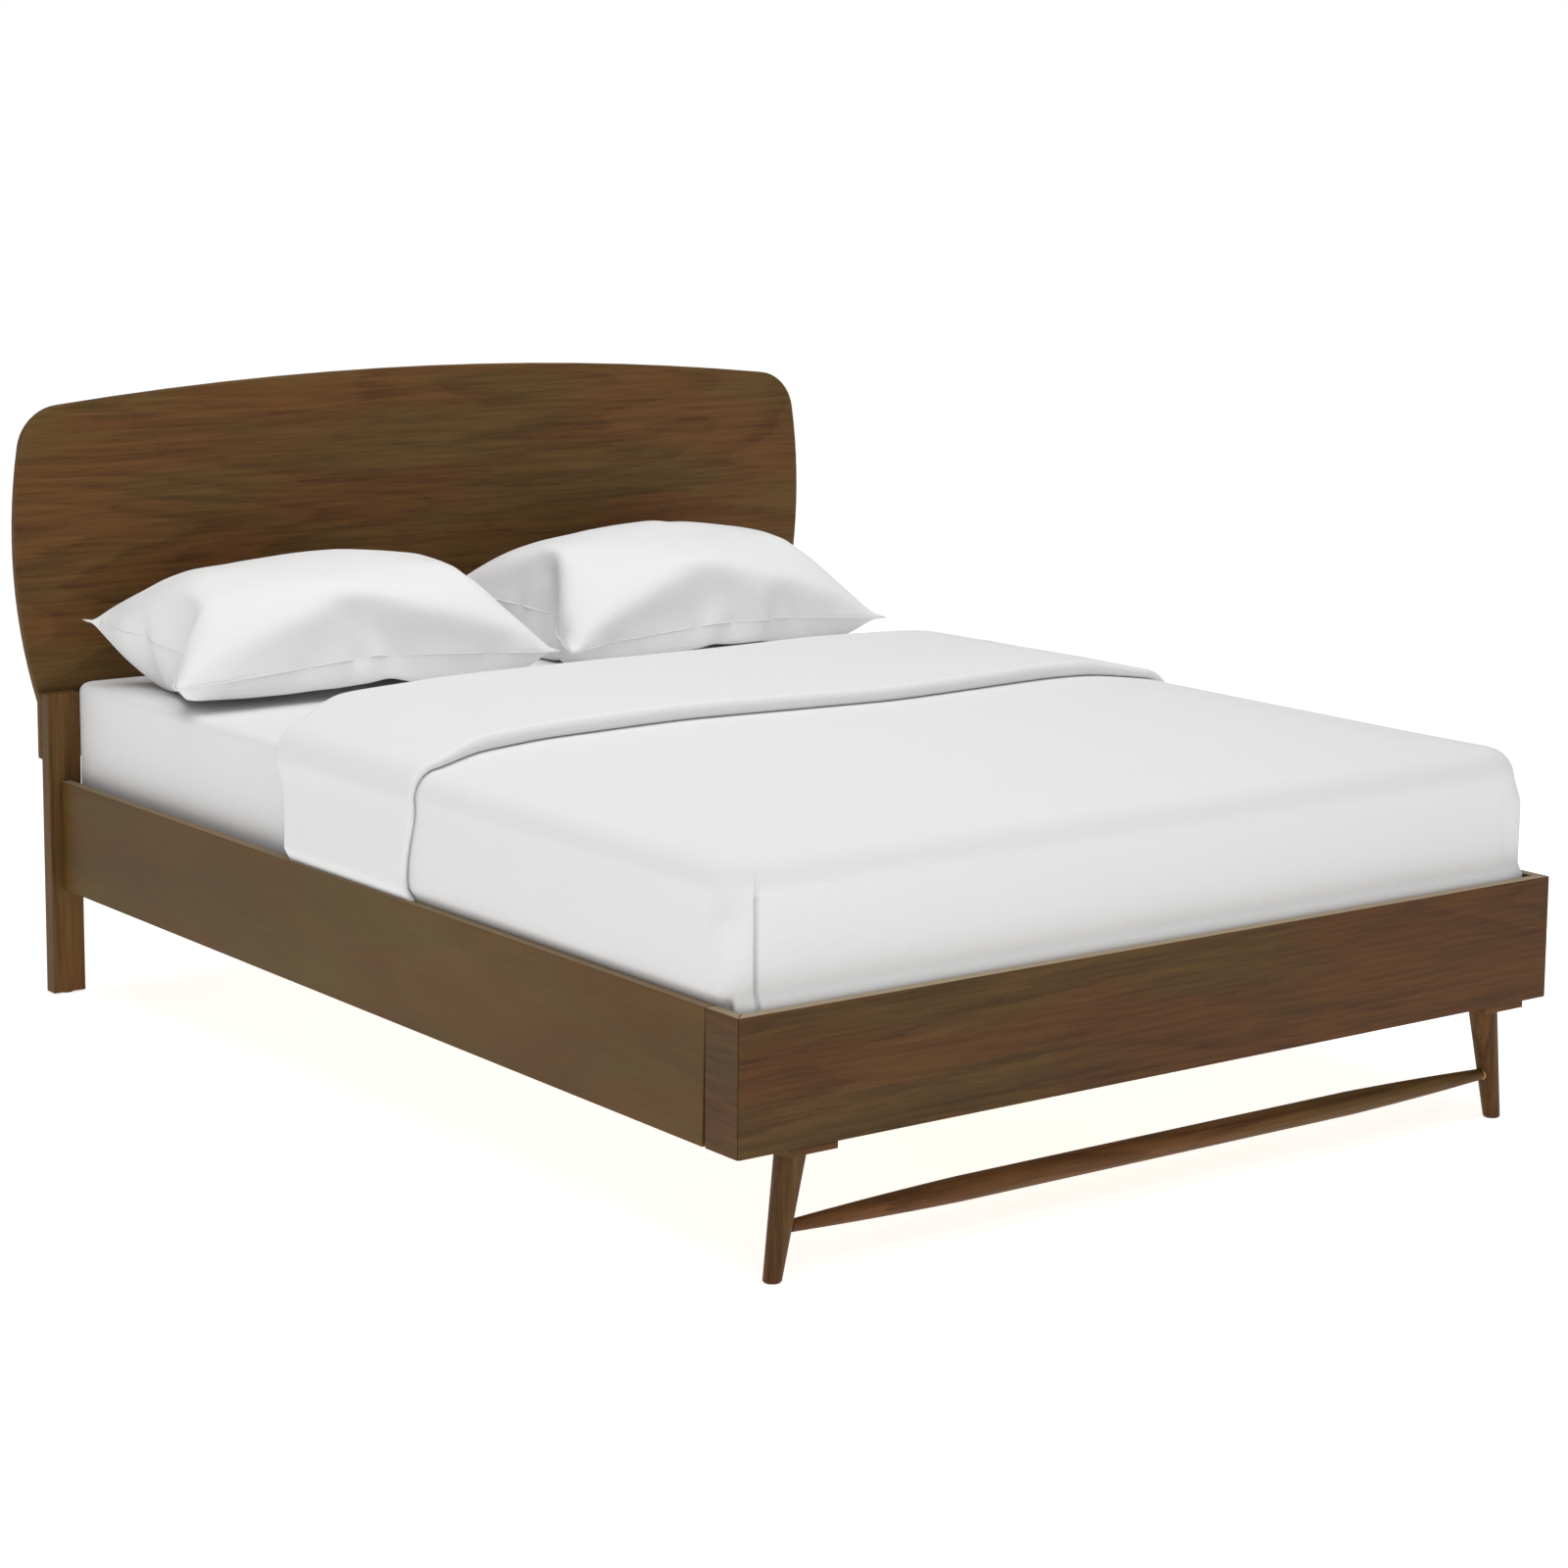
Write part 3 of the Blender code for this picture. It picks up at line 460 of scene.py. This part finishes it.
# ---------------------------------------------------------------- the made bed's form
def over_bed(u, v, lift):
    """Points on the mattress's rounded top and walls, lifted off them.

    u is the distance across the cloth from the middle, and v the distance along it toward the foot,
    both measured on the cloth as it bends over the edges. The corners close into a quarter round.
    """
    u, v, lift = np.broadcast_arrays(u, v, lift)
    aside = np.maximum(np.abs(u) - STRAIGHT, 0)
    toward_foot = v - FOOT_STRAIGHT
    toward_head = HEAD_STRAIGHT - v
    onward = np.maximum(np.maximum(toward_foot, toward_head), 0)
    way = np.where(toward_foot >= toward_head, -1.0, 1.0)
    reach = np.maximum(aside, onward)
    share = np.minimum(aside, onward) / np.maximum(reach, 1e-9)
    turn = np.where(aside >= onward, share * math.pi / 4, math.pi / 2 - share * math.pi / 4)
    flat = PLAN_CORNER - TOP_EDGE
    past = np.maximum(reach - flat, 0)
    bend = np.minimum(past / TOP_EDGE, math.pi / 2)
    out = np.minimum(reach, flat) + TOP_EDGE * np.sin(bend)
    drop = TOP_EDGE * (1 - np.cos(bend)) + np.maximum(past - TOP_EDGE * math.pi / 2, 0)
    side = np.sign(u)
    outward_x = side * np.cos(turn)
    outward_y = way * np.sin(turn)
    x = np.clip(u, -STRAIGHT, STRAIGHT) + outward_x * (out + lift * np.sin(bend))
    y = -np.clip(v, HEAD_STRAIGHT, FOOT_STRAIGHT) + outward_y * (out + lift * np.sin(bend))
    z = SHEET_TOP - drop + lift * np.cos(bend)
    return np.stack([x, y, z], -1)


def wall_reach(low):
    """How far past a straight edge the cloth goes to hang down to the height low."""
    drop = SHEET_TOP - low
    return PLAN_CORNER - TOP_EDGE + TOP_EDGE * math.pi / 2 + drop - TOP_EDGE


# ---------------------------------------------------------------- bar between the front legs
def stretcher_bar():
    """The turned bar: straight in the middle, tapering to each end, with a tenon let into each leg."""
    middle_r, end_r, tenon_r, taper = 0.0185, 0.009, 0.007, 0.300
    start = BAR_SHOULDER - taper
    half = [(x, middle_r) for x in steps((0.0, start, 0.06))]
    for share in steps((0.0, 1.0, 1 / 24.0))[1:]:
        radius = middle_r + (end_r - middle_r) * (0.5 * share + 0.5 * share**2)
        half.append((start + taper * share, radius))
    half[-1] = (BAR_SHOULDER - 0.0008, end_r)
    half += [(BAR_SHOULDER, end_r - 0.0008), (BAR_SHOULDER, tenon_r)]
    half += [(BAR_END - 0.0010, tenon_r), (BAR_END, tenon_r - 0.0010)]
    profile = [(-x, radius) for x, radius in reversed(half)] + half[1:]
    mesh = turned("stretcher_bar", profile, (0, along(LEG_SETBACK), BAR_HEIGHT), 56)
    made = wood("bar_wood", WALNUT_SOLID, "x", 5.5, 0.6)
    bar = piece("stretcher_bar", mesh, made, "walnut_solid", "stretcher")
    bar.data.set_sharp_from_angle(angle=math.radians(40))
    return bar


def turned(name, profile, centre, around):
    """A solid turned on the X axis from (x, radius) pairs."""
    shape = bmesh.new()
    rings = []
    for x, radius in profile:
        angles = (2 * math.pi * index / around for index in range(around))
        spots = [(x, radius * math.cos(a), radius * math.sin(a)) for a in angles]
        rings.append([shape.verts.new(Vector(spot) + Vector(centre)) for spot in spots])
    for ring, onward in zip(rings[:-1], rings[1:]):
        for index in range(around):
            after = (index + 1) % around
            shape.faces.new((ring[index], ring[after], onward[after], onward[index]))
    shape.faces.new(rings[0])
    shape.faces.new(rings[-1])
    mesh = bpy.data.meshes.new(name)
    shape.to_mesh(mesh)
    shape.free()
    outward(mesh)
    return mesh


# ---------------------------------------------------------------- mattress and fitted sheet
SHEET_THICK = 0.0008


def mattress():
    """A mattress with a corded edge top and bottom, and quilted panels."""
    low = (MATTRESS_LOW.z + MATTRESS_HIGH.z) / 2
    inset = BED_HALF - MATTRESS_HIGH.x + 0.0004
    reach = wall_reach(low)
    foot, head = FOOT_STRAIGHT, HEAD_STRAIGHT
    u = steps((-(STRAIGHT + reach), -STRAIGHT, 0.010), (-STRAIGHT, STRAIGHT, 0.018),
              (STRAIGHT, STRAIGHT + reach, 0.010))
    v = steps((head - reach, head, 0.010), (head, foot, 0.018), (foot, foot + reach, 0.010))
    across, down = np.meshgrid(u, v, indexing="ij")
    past = np.maximum(np.abs(across) - STRAIGHT, np.maximum(down - foot, head - down))
    cord_at = PLAN_CORNER - TOP_EDGE + TOP_EDGE * math.pi / 2 + 0.012
    cord = np.exp(-(((past - cord_at) / 0.006) ** 2))
    quilt = np.abs(np.sin((across + down) * math.pi / 0.16) * np.sin((across - down) * math.pi / 0.16))
    puff = -0.006 * (1 - quilt**0.35) * smooth_step(0.02, -0.05, past)
    lift = -inset - 0.0012 * (1 - cord) + puff
    upper = over_bed(across, down, lift)
    lower = upper.copy()
    lower[..., 2] = MATTRESS_LOW.z + (MATTRESS_HIGH.z - upper[..., 2])
    rim = np.ones(upper.shape[:2], bool)
    rim[1:-1, 1:-1] = False
    upper[rim, 2] = low
    mesh = closed_layers("mattress_body", upper, lower)
    return piece("mattress_body", mesh, ticking("mattress_ticking"), "mattress_tick", "mattress")


def fitted_sheet():
    """A fitted sheet stretched over the mattress, gathered by the elastic in its hem."""
    reach = wall_reach(SHEET_LOW.z + 0.001)
    half = STRAIGHT + reach
    foot, head = FOOT_STRAIGHT, HEAD_STRAIGHT
    u = sheet_steps(half - reach, reach)
    v = np.concatenate([head - sheet_side(reach)[::-1], steps((head, foot, 0.016))[1:-1],
                        foot + sheet_side(reach)])
    across, down = np.meshgrid(u, v, indexing="ij")
    base = over_bed(across, down, 0.0)
    depth = SHEET_TOP - base[..., 2]
    hang = smooth_step(0.08, 0.24, depth)
    gathers = np.sin((base[..., 0] + base[..., 1]) * 2 * math.pi / 0.021 + 3 * ripple(base, 9.0))
    pull = ripple(base * np.array([1.0, 1.0, 0.25]), 14.0, 3.0)
    lift = -0.0004 - 0.0007 * hang * (1 + gathers) - 0.0005 * (1 - pull)
    points = over_bed(across, down, lift)
    mesh = open_sheet("fitted_sheet_cloth", points)
    obj = piece("fitted_sheet_cloth", mesh, cotton("sheet_percale", 0.80, crease=0.10), "sheet_cotton",
                "fitted_sheet")
    cloth = obj.modifiers.new("thickness", "SOLIDIFY")
    cloth.thickness = SHEET_THICK
    cloth.offset = 0.0
    return obj


def sheet_side(reach):
    return steps((0.0, 0.09, 0.0045), (0.09, reach, 0.010))


def sheet_steps(straight, reach):
    side = sheet_side(reach)
    return np.concatenate([-straight - side[::-1], steps((-straight, straight, 0.016))[1:-1],
                           straight + side])


# ---------------------------------------------------------------- duvet
DUVET_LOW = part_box("duvet")[0].z
BODY_THICK = 0.037          # in the middle of the bed
BODY_WALL_THICK = 0.024     # where it hangs over the edge
FLAP_THICK = 0.026
FLAP_WALL_THICK = 0.012
LAYER_GAP = 0.001
CORNER_FILL = 0.015         # added at the foot corners
PLEAT_DEPTH = 0.012
HEM_ROUND = 0.012           # how far in from its hem the duvet's edge is rounded
FREE_EDGE_ROUND = 0.011
# The turned-back part's free edge and the fold, as (place across the cloth, distance from the foot).
FREE_EDGE = ((-0.97, 0.850), (-0.91, 0.880), (-0.84, 0.868), (-0.79, 0.845), (-0.74, 0.858),
             (-0.66, 0.893), (-0.50, 0.938), (-0.22, 0.955), (0.0, 0.940), (0.20, 0.928),
             (0.56, 0.953), (0.68, 0.935), (0.77, 0.895), (0.84, 0.880), (0.97, 0.880))
FOLD_LINE = ((-0.97, 1.245), (-0.86, 1.240), (-0.78, 1.250), (-0.70, 1.315), (-0.60, 1.380),
             (-0.40, 1.425), (0.0, 1.440), (0.40, 1.445), (0.62, 1.420), (0.78, 1.350), (0.97, 1.330))


def soft_line(points, across):
    """A smooth curve through listed points."""
    places = np.array([p[0] for p in points])
    values = np.array([p[1] for p in points])
    total, weight = 0.0, 0.0
    for shift in np.linspace(-0.05, 0.05, 9):
        share = 1 - abs(shift) / 0.06
        total = total + share * np.interp(across + shift, places, values)
        weight += share
    return total / weight


def duvet_thickness(across, down, top, wall):
    """Thick on top, thinner where it is pulled down over the edges."""
    across, down = np.broadcast_arrays(across, down)
    aside = np.abs(across) - STRAIGHT
    onward = down - FOOT_STRAIGHT
    past = np.maximum(aside, onward)
    hanging = smooth_step(0.04, 0.10, past)
    thick = top + (wall - top) * smooth_step(-0.10, 0.090, past)
    place = np.stack([across, down, 0 * down], -1)
    swells = ripple(place * np.array([1.0, 1.6, 1.0]), 2.1, 7.0)
    thick = thick + 0.0022 * swells * smooth_step(0.1, 0, past)
    thick = thick + 0.0016 * ripple(place, 5.0, 2.0) * hanging
    # One layer narrows to pass the side rails, and fills the wider gap at the footboard.
    low = wall_reach(RAIL_TOP + 0.004)
    deep = smooth_step(low - 0.015, low + 0.004, past)
    side_room = RAIL_INNER - 0.0010 - BED_HALF - CLEAR
    foot_room = SHEET_LOW.y - BOARD_HIGH.y - 0.004 - CLEAR
    at_foot = smooth_step(-0.01, 0.03, onward - aside)
    tucked = np.minimum(thick, side_room) * (1 - at_foot) + foot_room * at_foot
    thick = thick + (tucked - thick) * deep
    # The foot corners are folded square, with a pleat on the left one's front.
    nearer = np.minimum(aside, onward)
    corner = np.where(nearer > 0, nearer / np.maximum(past, 1e-6), 0.0)
    thick = thick + CORNER_FILL * (1 - 0.4 * deep) * smooth_step(0.2, 1.0, corner) * hanging
    pleat = np.exp(-(((corner - 0.42) / 0.05) ** 2)) * (across < 0) * (onward > aside)
    return thick - PLEAT_DEPTH * pleat * smooth_step(0.03, 0.07, past)


def rounded_edge(distance, radius):
    """The share of its full thickness that a padded edge has at a distance in from its rim."""
    return np.sqrt(np.clip(1 - (1 - np.clip(distance / radius, 0, 1)) ** 2, 0, 1))


def duvet():
    """The duvet as one closed shell: up over the foot, along the top, and folded back on itself."""
    foot = FOOT_STRAIGHT
    reach = wall_reach(DUVET_LOW + 0.002)
    half = STRAIGHT + reach
    hem = reach - HEM_ROUND
    side = steps((0.0, 0.12, 0.0032), (0.12, hem, 0.008), (hem, reach, 0.003))
    u = np.concatenate([-STRAIGHT - side[::-1], steps((-STRAIGHT, STRAIGHT, 0.0125))[1:-1],
                        STRAIGHT + side])
    fold_v = -along(soft_line(FOLD_LINE, u))
    free_v = -along(soft_line(FREE_EDGE, u))
    foot_part = (foot + side)[::-1]
    body_share = steps((0.0, 1.0, 1 / 100.0))[1:]
    arc = np.linspace(-90, 90, 13)[1:-1]
    flap_share = steps((0.0, 0.9, 1 / 42.0), (0.9, 1.0, 1 / 110.0))

    under, over = [], []
    hem_side = rounded_edge(half - np.abs(u), HEM_ROUND)
    for v in foot_part:
        thick = duvet_thickness(u, v, BODY_THICK, BODY_WALL_THICK)
        full = thick * hem_side * rounded_edge(foot + reach - v, HEM_ROUND)
        middle = CLEAR + thick / 2
        under.append(over_bed(u, v, middle - full / 2))
        over.append(over_bed(u, v, middle + full / 2))
    for share in body_share:
        v = foot + (fold_v - foot) * share
        thick = duvet_thickness(u, v, BODY_THICK, BODY_WALL_THICK)
        full = thick * hem_side
        middle = CLEAR + thick / 2
        under.append(over_bed(u, v, middle - full / 2))
        over.append(over_bed(u, v, middle + full / 2))
    body = duvet_thickness(u, fold_v, BODY_THICK, BODY_WALL_THICK)
    flap = duvet_thickness(u, fold_v, FLAP_THICK, FLAP_WALL_THICK)
    for degrees in arc:
        angle = math.radians(degrees)
        outer_r = (body + flap + LAYER_GAP) / 2 * hem_side
        inner_r = LAYER_GAP / 2 * hem_side
        outer_c = CLEAR + (body + flap + LAYER_GAP) / 2
        inner_c = CLEAR + body + LAYER_GAP / 2
        blend = (1 + math.sin(angle)) / 2
        inner_c = inner_c + (1 - hem_side) * (flap * blend - body * (1 - blend)) / 2
        back, up = math.cos(angle), math.sin(angle)
        under.append(over_bed(u, fold_v - outer_r * back, outer_c + outer_r * up))
        over.append(over_bed(u, fold_v - inner_r * back, inner_c + inner_r * up))
    for share in flap_share:
        v = fold_v + (free_v - fold_v) * share
        thick = duvet_thickness(u, v, FLAP_THICK, FLAP_WALL_THICK)
        beneath = duvet_thickness(u, v, BODY_THICK, BODY_WALL_THICK)
        full = thick * hem_side * rounded_edge((1 - share) * (free_v - fold_v), FREE_EDGE_ROUND)
        middle = CLEAR + beneath + LAYER_GAP + thick / 2
        under.append(over_bed(u, v, middle + full / 2))
        over.append(over_bed(u, v, middle - full / 2))
    under, over = np.array(under), np.array(over)
    under[0] = over[0] = (under[0] + over[0]) / 2
    under[-1] = over[-1] = (under[-1] + over[-1]) / 2
    for column in (0, -1):
        mean = (under[:, column] + over[:, column]) / 2
        under[:, column] = over[:, column] = mean
    mesh = closed_layers("duvet_cover", over, under)
    obj = piece("duvet_cover", mesh, cotton("duvet_sateen", 0.80, crease=0.12, crease_scale=14.0),
                "duvet_cotton", "duvet")
    return obj


# ---------------------------------------------------------------- pillows
PILLOW_FLAT = (0.765, 0.505)        # the case before it is filled
PILLOW_GRID = (70, 48)
PILLOW_LIFT = 0.086                 # the middle of the case over the sheet, while it fills
PILLOW_TILT = math.radians(11.0)    # its back edge leans up the headboard
PILLOW_VOLUME = 0.0345
PILLOW_SINK = 0.005                 # how deep it is set into the sheet, to be pressed flat there
PILLOW_FRAMES = 36
OFF_SHEET = 0.0006                  # air kept under a filled case
OFF_HEADBOARD = 0.002               # and behind it
SMOOTHING_ROUNDS = 6
CASE_WEIGHT = 0.0                   # gravity's share: the cases fill weightless
CASE_SWELL = 0.030                  # half a case's thickness to begin with
CASE_QUALITY = 5
CASE_STIFFNESS = 40.0
CASE_BENDING = 0.2
CASE_PRESSURE = 10.0
CASE_AIR_DAMPING = 2.0
CASE_DAMPING = 10.0
CASE_REACH = 0.14                   # no point of a case moves further than this as it fills
WELT_RADIUS = 0.0013
WELT_SIDES = 6


def wall(name, corners):
    """A flat surface that cloth lands on while it is simulated."""
    mesh = bpy.data.meshes.new(name)
    mesh.from_pydata(corners, [], [(0, 1, 2, 3)])
    obj = bpy.data.objects.new(name, mesh)
    bpy.context.scene.collection.objects.link(obj)
    obj.modifiers.new("collision", "COLLISION")
    obj.collision.thickness_outer = 0.002
    obj.collision.cloth_friction = 20.0
    return obj


def inflated(cases, volume, frames):
    """Blows closed cases up toward a volume, and keeps the result as their meshes."""
    for case in cases:
        cloth = case.modifiers.new("cloth", "CLOTH")
        settings = cloth.settings
        settings.quality = CASE_QUALITY
        settings.mass = 0.25
        settings.tension_stiffness = CASE_STIFFNESS
        settings.compression_stiffness = CASE_STIFFNESS / 2
        settings.shear_stiffness = CASE_STIFFNESS / 4
        settings.bending_stiffness = CASE_BENDING
        settings.tension_damping = CASE_DAMPING
        settings.compression_damping = CASE_DAMPING
        settings.shear_damping = CASE_DAMPING
        settings.air_damping = CASE_AIR_DAMPING
        settings.use_pressure = True
        settings.use_pressure_volume = True
        settings.target_volume = volume
        settings.uniform_pressure_force = 0.0
        settings.pressure_factor = CASE_PRESSURE
        settings.effector_weights.gravity = CASE_WEIGHT
        cloth.collision_settings.distance_min = 0.002
        cloth.point_cache.frame_start = 1
        cloth.point_cache.frame_end = frames
    scene = bpy.context.scene
    for frame_number in range(0, frames + 1):
        scene.frame_set(frame_number)
    graph = bpy.context.evaluated_depsgraph_get()
    for case in cases:
        settled = bpy.data.meshes.new_from_object(case.evaluated_get(graph))
        before, after = points_of(case.data), points_of(settled)
        step = after - before
        length = np.linalg.norm(step, axis=1, keepdims=True)
        share = np.minimum(1.0, CASE_REACH / np.maximum(length, 1e-9))
        set_points(case.data, before + step * share)
    for case in cases:
        case.modifiers.remove(case.modifiers["cloth"])
    scene.frame_set(1)


def points_of(mesh):
    flat = np.zeros(len(mesh.vertices) * 3, np.float32)
    mesh.vertices.foreach_get("co", flat)
    return flat.reshape(-1, 3).astype(float)


def set_points(mesh, points):
    mesh.vertices.foreach_set("co", points.astype(np.float32).ravel())
    mesh.update()


def border_loop(rows, columns):
    """Numbers of the grid's border points, in order round it."""
    number = np.arange(rows * columns).reshape(rows, columns)
    edges = (number[0, :-1], number[:-1, -1], number[-1, :0:-1], number[:0:-1, 0])
    return np.concatenate(edges).tolist()


def pillow_case(name, node, x, y, yaw, roll, seed):
    """A flat, lens-shaped pillow case, lying tilted over the sheet."""
    columns, rows = PILLOW_GRID
    across, deep = np.meshgrid(np.linspace(-1, 1, columns), np.linspace(-1, 1, rows), indexing="ij")
    swell = ((1 - across**2) * (1 - deep**2)) ** 0.5
    waves = 0.004 * ripple(np.stack([across, deep, 0 * across], -1), 2.7, seed) * swell
    flat = np.stack([across * PILLOW_FLAT[0] / 2, deep * PILLOW_FLAT[1] / 2, waves], -1)
    upper, lower = flat.copy(), flat.copy()
    upper[..., 2] += CASE_SWELL * swell
    lower[..., 2] -= CASE_SWELL * swell
    mesh = closed_layers(name, upper, lower)
    lean = Matrix.Rotation(PILLOW_TILT, 4, "X") @ Matrix.Rotation(-math.radians(roll), 4, "Y")
    lie = Matrix.Rotation(math.radians(yaw), 4, "Z") @ lean
    mesh.transform(Matrix.Translation((x, along(y), SHEET_TOP + PILLOW_LIFT)) @ lie)
    made = cotton("case_" + name, 0.82, crease=0.16, crease_scale=20.0)
    return piece(name, mesh, made, "pillow_cotton", node)


def finished_case(case):
    """Sets a filled case down on the sheet, clear of the headboard, and adds its seam."""
    border = border_loop(*PILLOW_GRID)
    relaxed(case.data, border, SMOOTHING_ROUNDS)
    points = points_of(case.data)
    points[:, 2] += SHEET_TOP - PILLOW_SINK - points[:, 2].min()
    points[:, 2] = np.maximum(points[:, 2], SHEET_TOP + OFF_SHEET)
    points[:, 1] = np.minimum(points[:, 1], PANEL_LOW.y - OFF_HEADBOARD)
    set_points(case.data, points)
    seam(case.name + "_seam", case, border)
    smoothing = case.modifiers.new("smooth", "SUBSURF")
    smoothing.levels = smoothing.render_levels = 1


def relaxed(mesh, fixed, rounds):
    """Evens out hard creases, leaving the seam where it is."""
    points = points_of(mesh)
    ends = np.array([edge.vertices[:] for edge in mesh.edges])
    count = np.bincount(ends.ravel(), minlength=len(points))[:, None]
    still = points[fixed]
    for _ in range(rounds):
        total = np.zeros_like(points)
        np.add.at(total, ends[:, 0], points[ends[:, 1]])
        np.add.at(total, ends[:, 1], points[ends[:, 0]])
        points = 0.5 * points + 0.5 * total / count
        points[fixed] = still
    set_points(mesh, points)


def seam(name, case, loop):
    """The sewn edge round a case, as a fine welt."""
    points = points_of(case.data)[loop]
    tangent = np.roll(points, -1, 0) - np.roll(points, 1, 0)
    tangent /= np.maximum(np.linalg.norm(tangent, axis=1, keepdims=True), 1e-9)
    level = np.cross(tangent, (0, 0, 1))
    level /= np.maximum(np.linalg.norm(level, axis=1, keepdims=True), 1e-9)
    upright = np.cross(level, tangent)
    angles = (np.arange(WELT_SIDES) * 2 * math.pi / WELT_SIDES)[None, :, None]
    around = np.cos(angles) * level[:, None] + np.sin(angles) * upright[:, None]
    rings = points[:, None] + WELT_RADIUS * around
    number = np.arange(len(loop) * WELT_SIDES).reshape(len(loop), WELT_SIDES)
    onward, beside = np.roll(number, -1, 0), np.roll(number, -1, 1)
    faces = np.stack([number, onward, np.roll(onward, -1, 1), beside], -1).reshape(-1, 4)
    mesh = bpy.data.meshes.new(name)
    mesh.from_pydata(rings.reshape(-1, 3).tolist(), [], faces.tolist())
    outward(mesh)
    mesh.shade_smooth()
    mesh.materials.append(case.data.materials[0])
    obj = bpy.data.objects.new(name, mesh)
    bpy.context.scene.collection.objects.link(obj)
    obj.parent = case
    obj.matrix_parent_inverse = case.matrix_world.inverted()
    return obj


def pillows():
    reach, high = 1.2, 2
    low, back = SHEET_TOP, PANEL_LOW.y - 0.001
    under = [(-reach, -reach, low), (reach, -reach, low), (reach, reach, low), (-reach, reach, low)]
    behind = [(-reach, back, 0), (-reach, back, high), (reach, back, high), (reach, back, 0)]
    stops = [wall("sheet_stop", under), wall("headboard_stop", behind)]
    cases = [
        pillow_case("pillow_left_case", "pillow_left", -0.412, 1.816, -4.0, 1.5, 1.0),
        pillow_case("pillow_right_case", "pillow_right", 0.350, 1.836, 1.5, 0.0, 5.0),
    ]
    inflated(cases, PILLOW_VOLUME, PILLOW_FRAMES)
    for case in cases:
        finished_case(case)
    for obj in stops:
        bpy.data.objects.remove(obj)


# ---------------------------------------------------------------- room, light and camera
SKY_LIGHT = 0.38            # what the white surroundings give off
SKY_SEEN = 1.0              # and how bright they look
FLOOR_GLOW = 0.66           # keeps the floor as white as the surroundings


def room():
    """A pale seamless floor under soft, even studio light."""
    shape = bmesh.new()
    bmesh.ops.create_circle(shape, cap_ends=True, segments=64, radius=60.0)
    mesh = bpy.data.meshes.new("studio_floor")
    shape.to_mesh(mesh)
    shape.free()
    floor = bpy.data.objects.new("studio_floor", mesh)
    floor.location = (0, 0, -0.0002)
    bpy.context.scene.collection.objects.link(floor)
    made, tree, shader = blank("studio_paper", 0.9, specular=0.1)
    shader.inputs["Base Color"].default_value = (0.95, 0.95, 0.95, 1)
    shader.inputs["Emission Color"].default_value = (1, 1, 1, 1)
    shader.inputs["Emission Strength"].default_value = FLOOR_GLOW
    mesh.materials.append(made)

    world = bpy.data.worlds.new("studio")
    bpy.context.scene.world = world
    world.use_nodes = True
    background = world.node_tree.nodes["Background"]
    background.inputs["Color"].default_value = (1, 1, 1, 1)
    background.inputs["Strength"].default_value = SKY_LIGHT
    tree = world.node_tree
    seen = add(tree, "ShaderNodeLightPath").outputs["Is Camera Ray"]
    tree.links.new(spread(tree, seen, 0, 1, SKY_LIGHT, SKY_SEEN), background.inputs["Strength"])

    area_light("overhead", (-0.3, -0.2, 3.6), (0, 0.1, 0.5), 3.4, 82)
    area_light("from_the_foot", (-2.0, -3.8, 2.3), (-0.4, -0.6, 0.4), 2.0, 21)


def area_light(name, place, toward, size, watts):
    data = bpy.data.lights.new(name, "AREA")
    data.shape = "SQUARE"
    data.size = size
    data.energy = watts
    obj = bpy.data.objects.new(name, data)
    obj.location = place
    obj.rotation_euler = (Vector(toward) - Vector(place)).to_track_quat("-Z", "Y").to_euler()
    bpy.context.scene.collection.objects.link(obj)


def camera():
    data = bpy.data.cameras.new("camera")
    data.sensor_width = 36.0
    data.lens = 83.73
    data.shift_y = -0.0875
    data.clip_end = 200.0
    obj = bpy.data.objects.new("camera", data)
    obj.location = (-3.5933, -4.9103, 1.6132)
    heading = Matrix.Rotation(-0.6395, 4, "Z") @ Matrix.Rotation(math.pi / 2 - 0.1499, 4, "X")
    obj.rotation_euler = (heading @ Matrix.Rotation(0.0081, 4, "Z")).to_euler()
    bpy.context.scene.collection.objects.link(obj)
    bpy.context.scene.camera = obj
    bpy.context.scene.view_settings.view_transform = "Standard"


dress_frame()
stretcher_bar()
mattress()
fitted_sheet()
duvet()
pillows()
room()
camera()
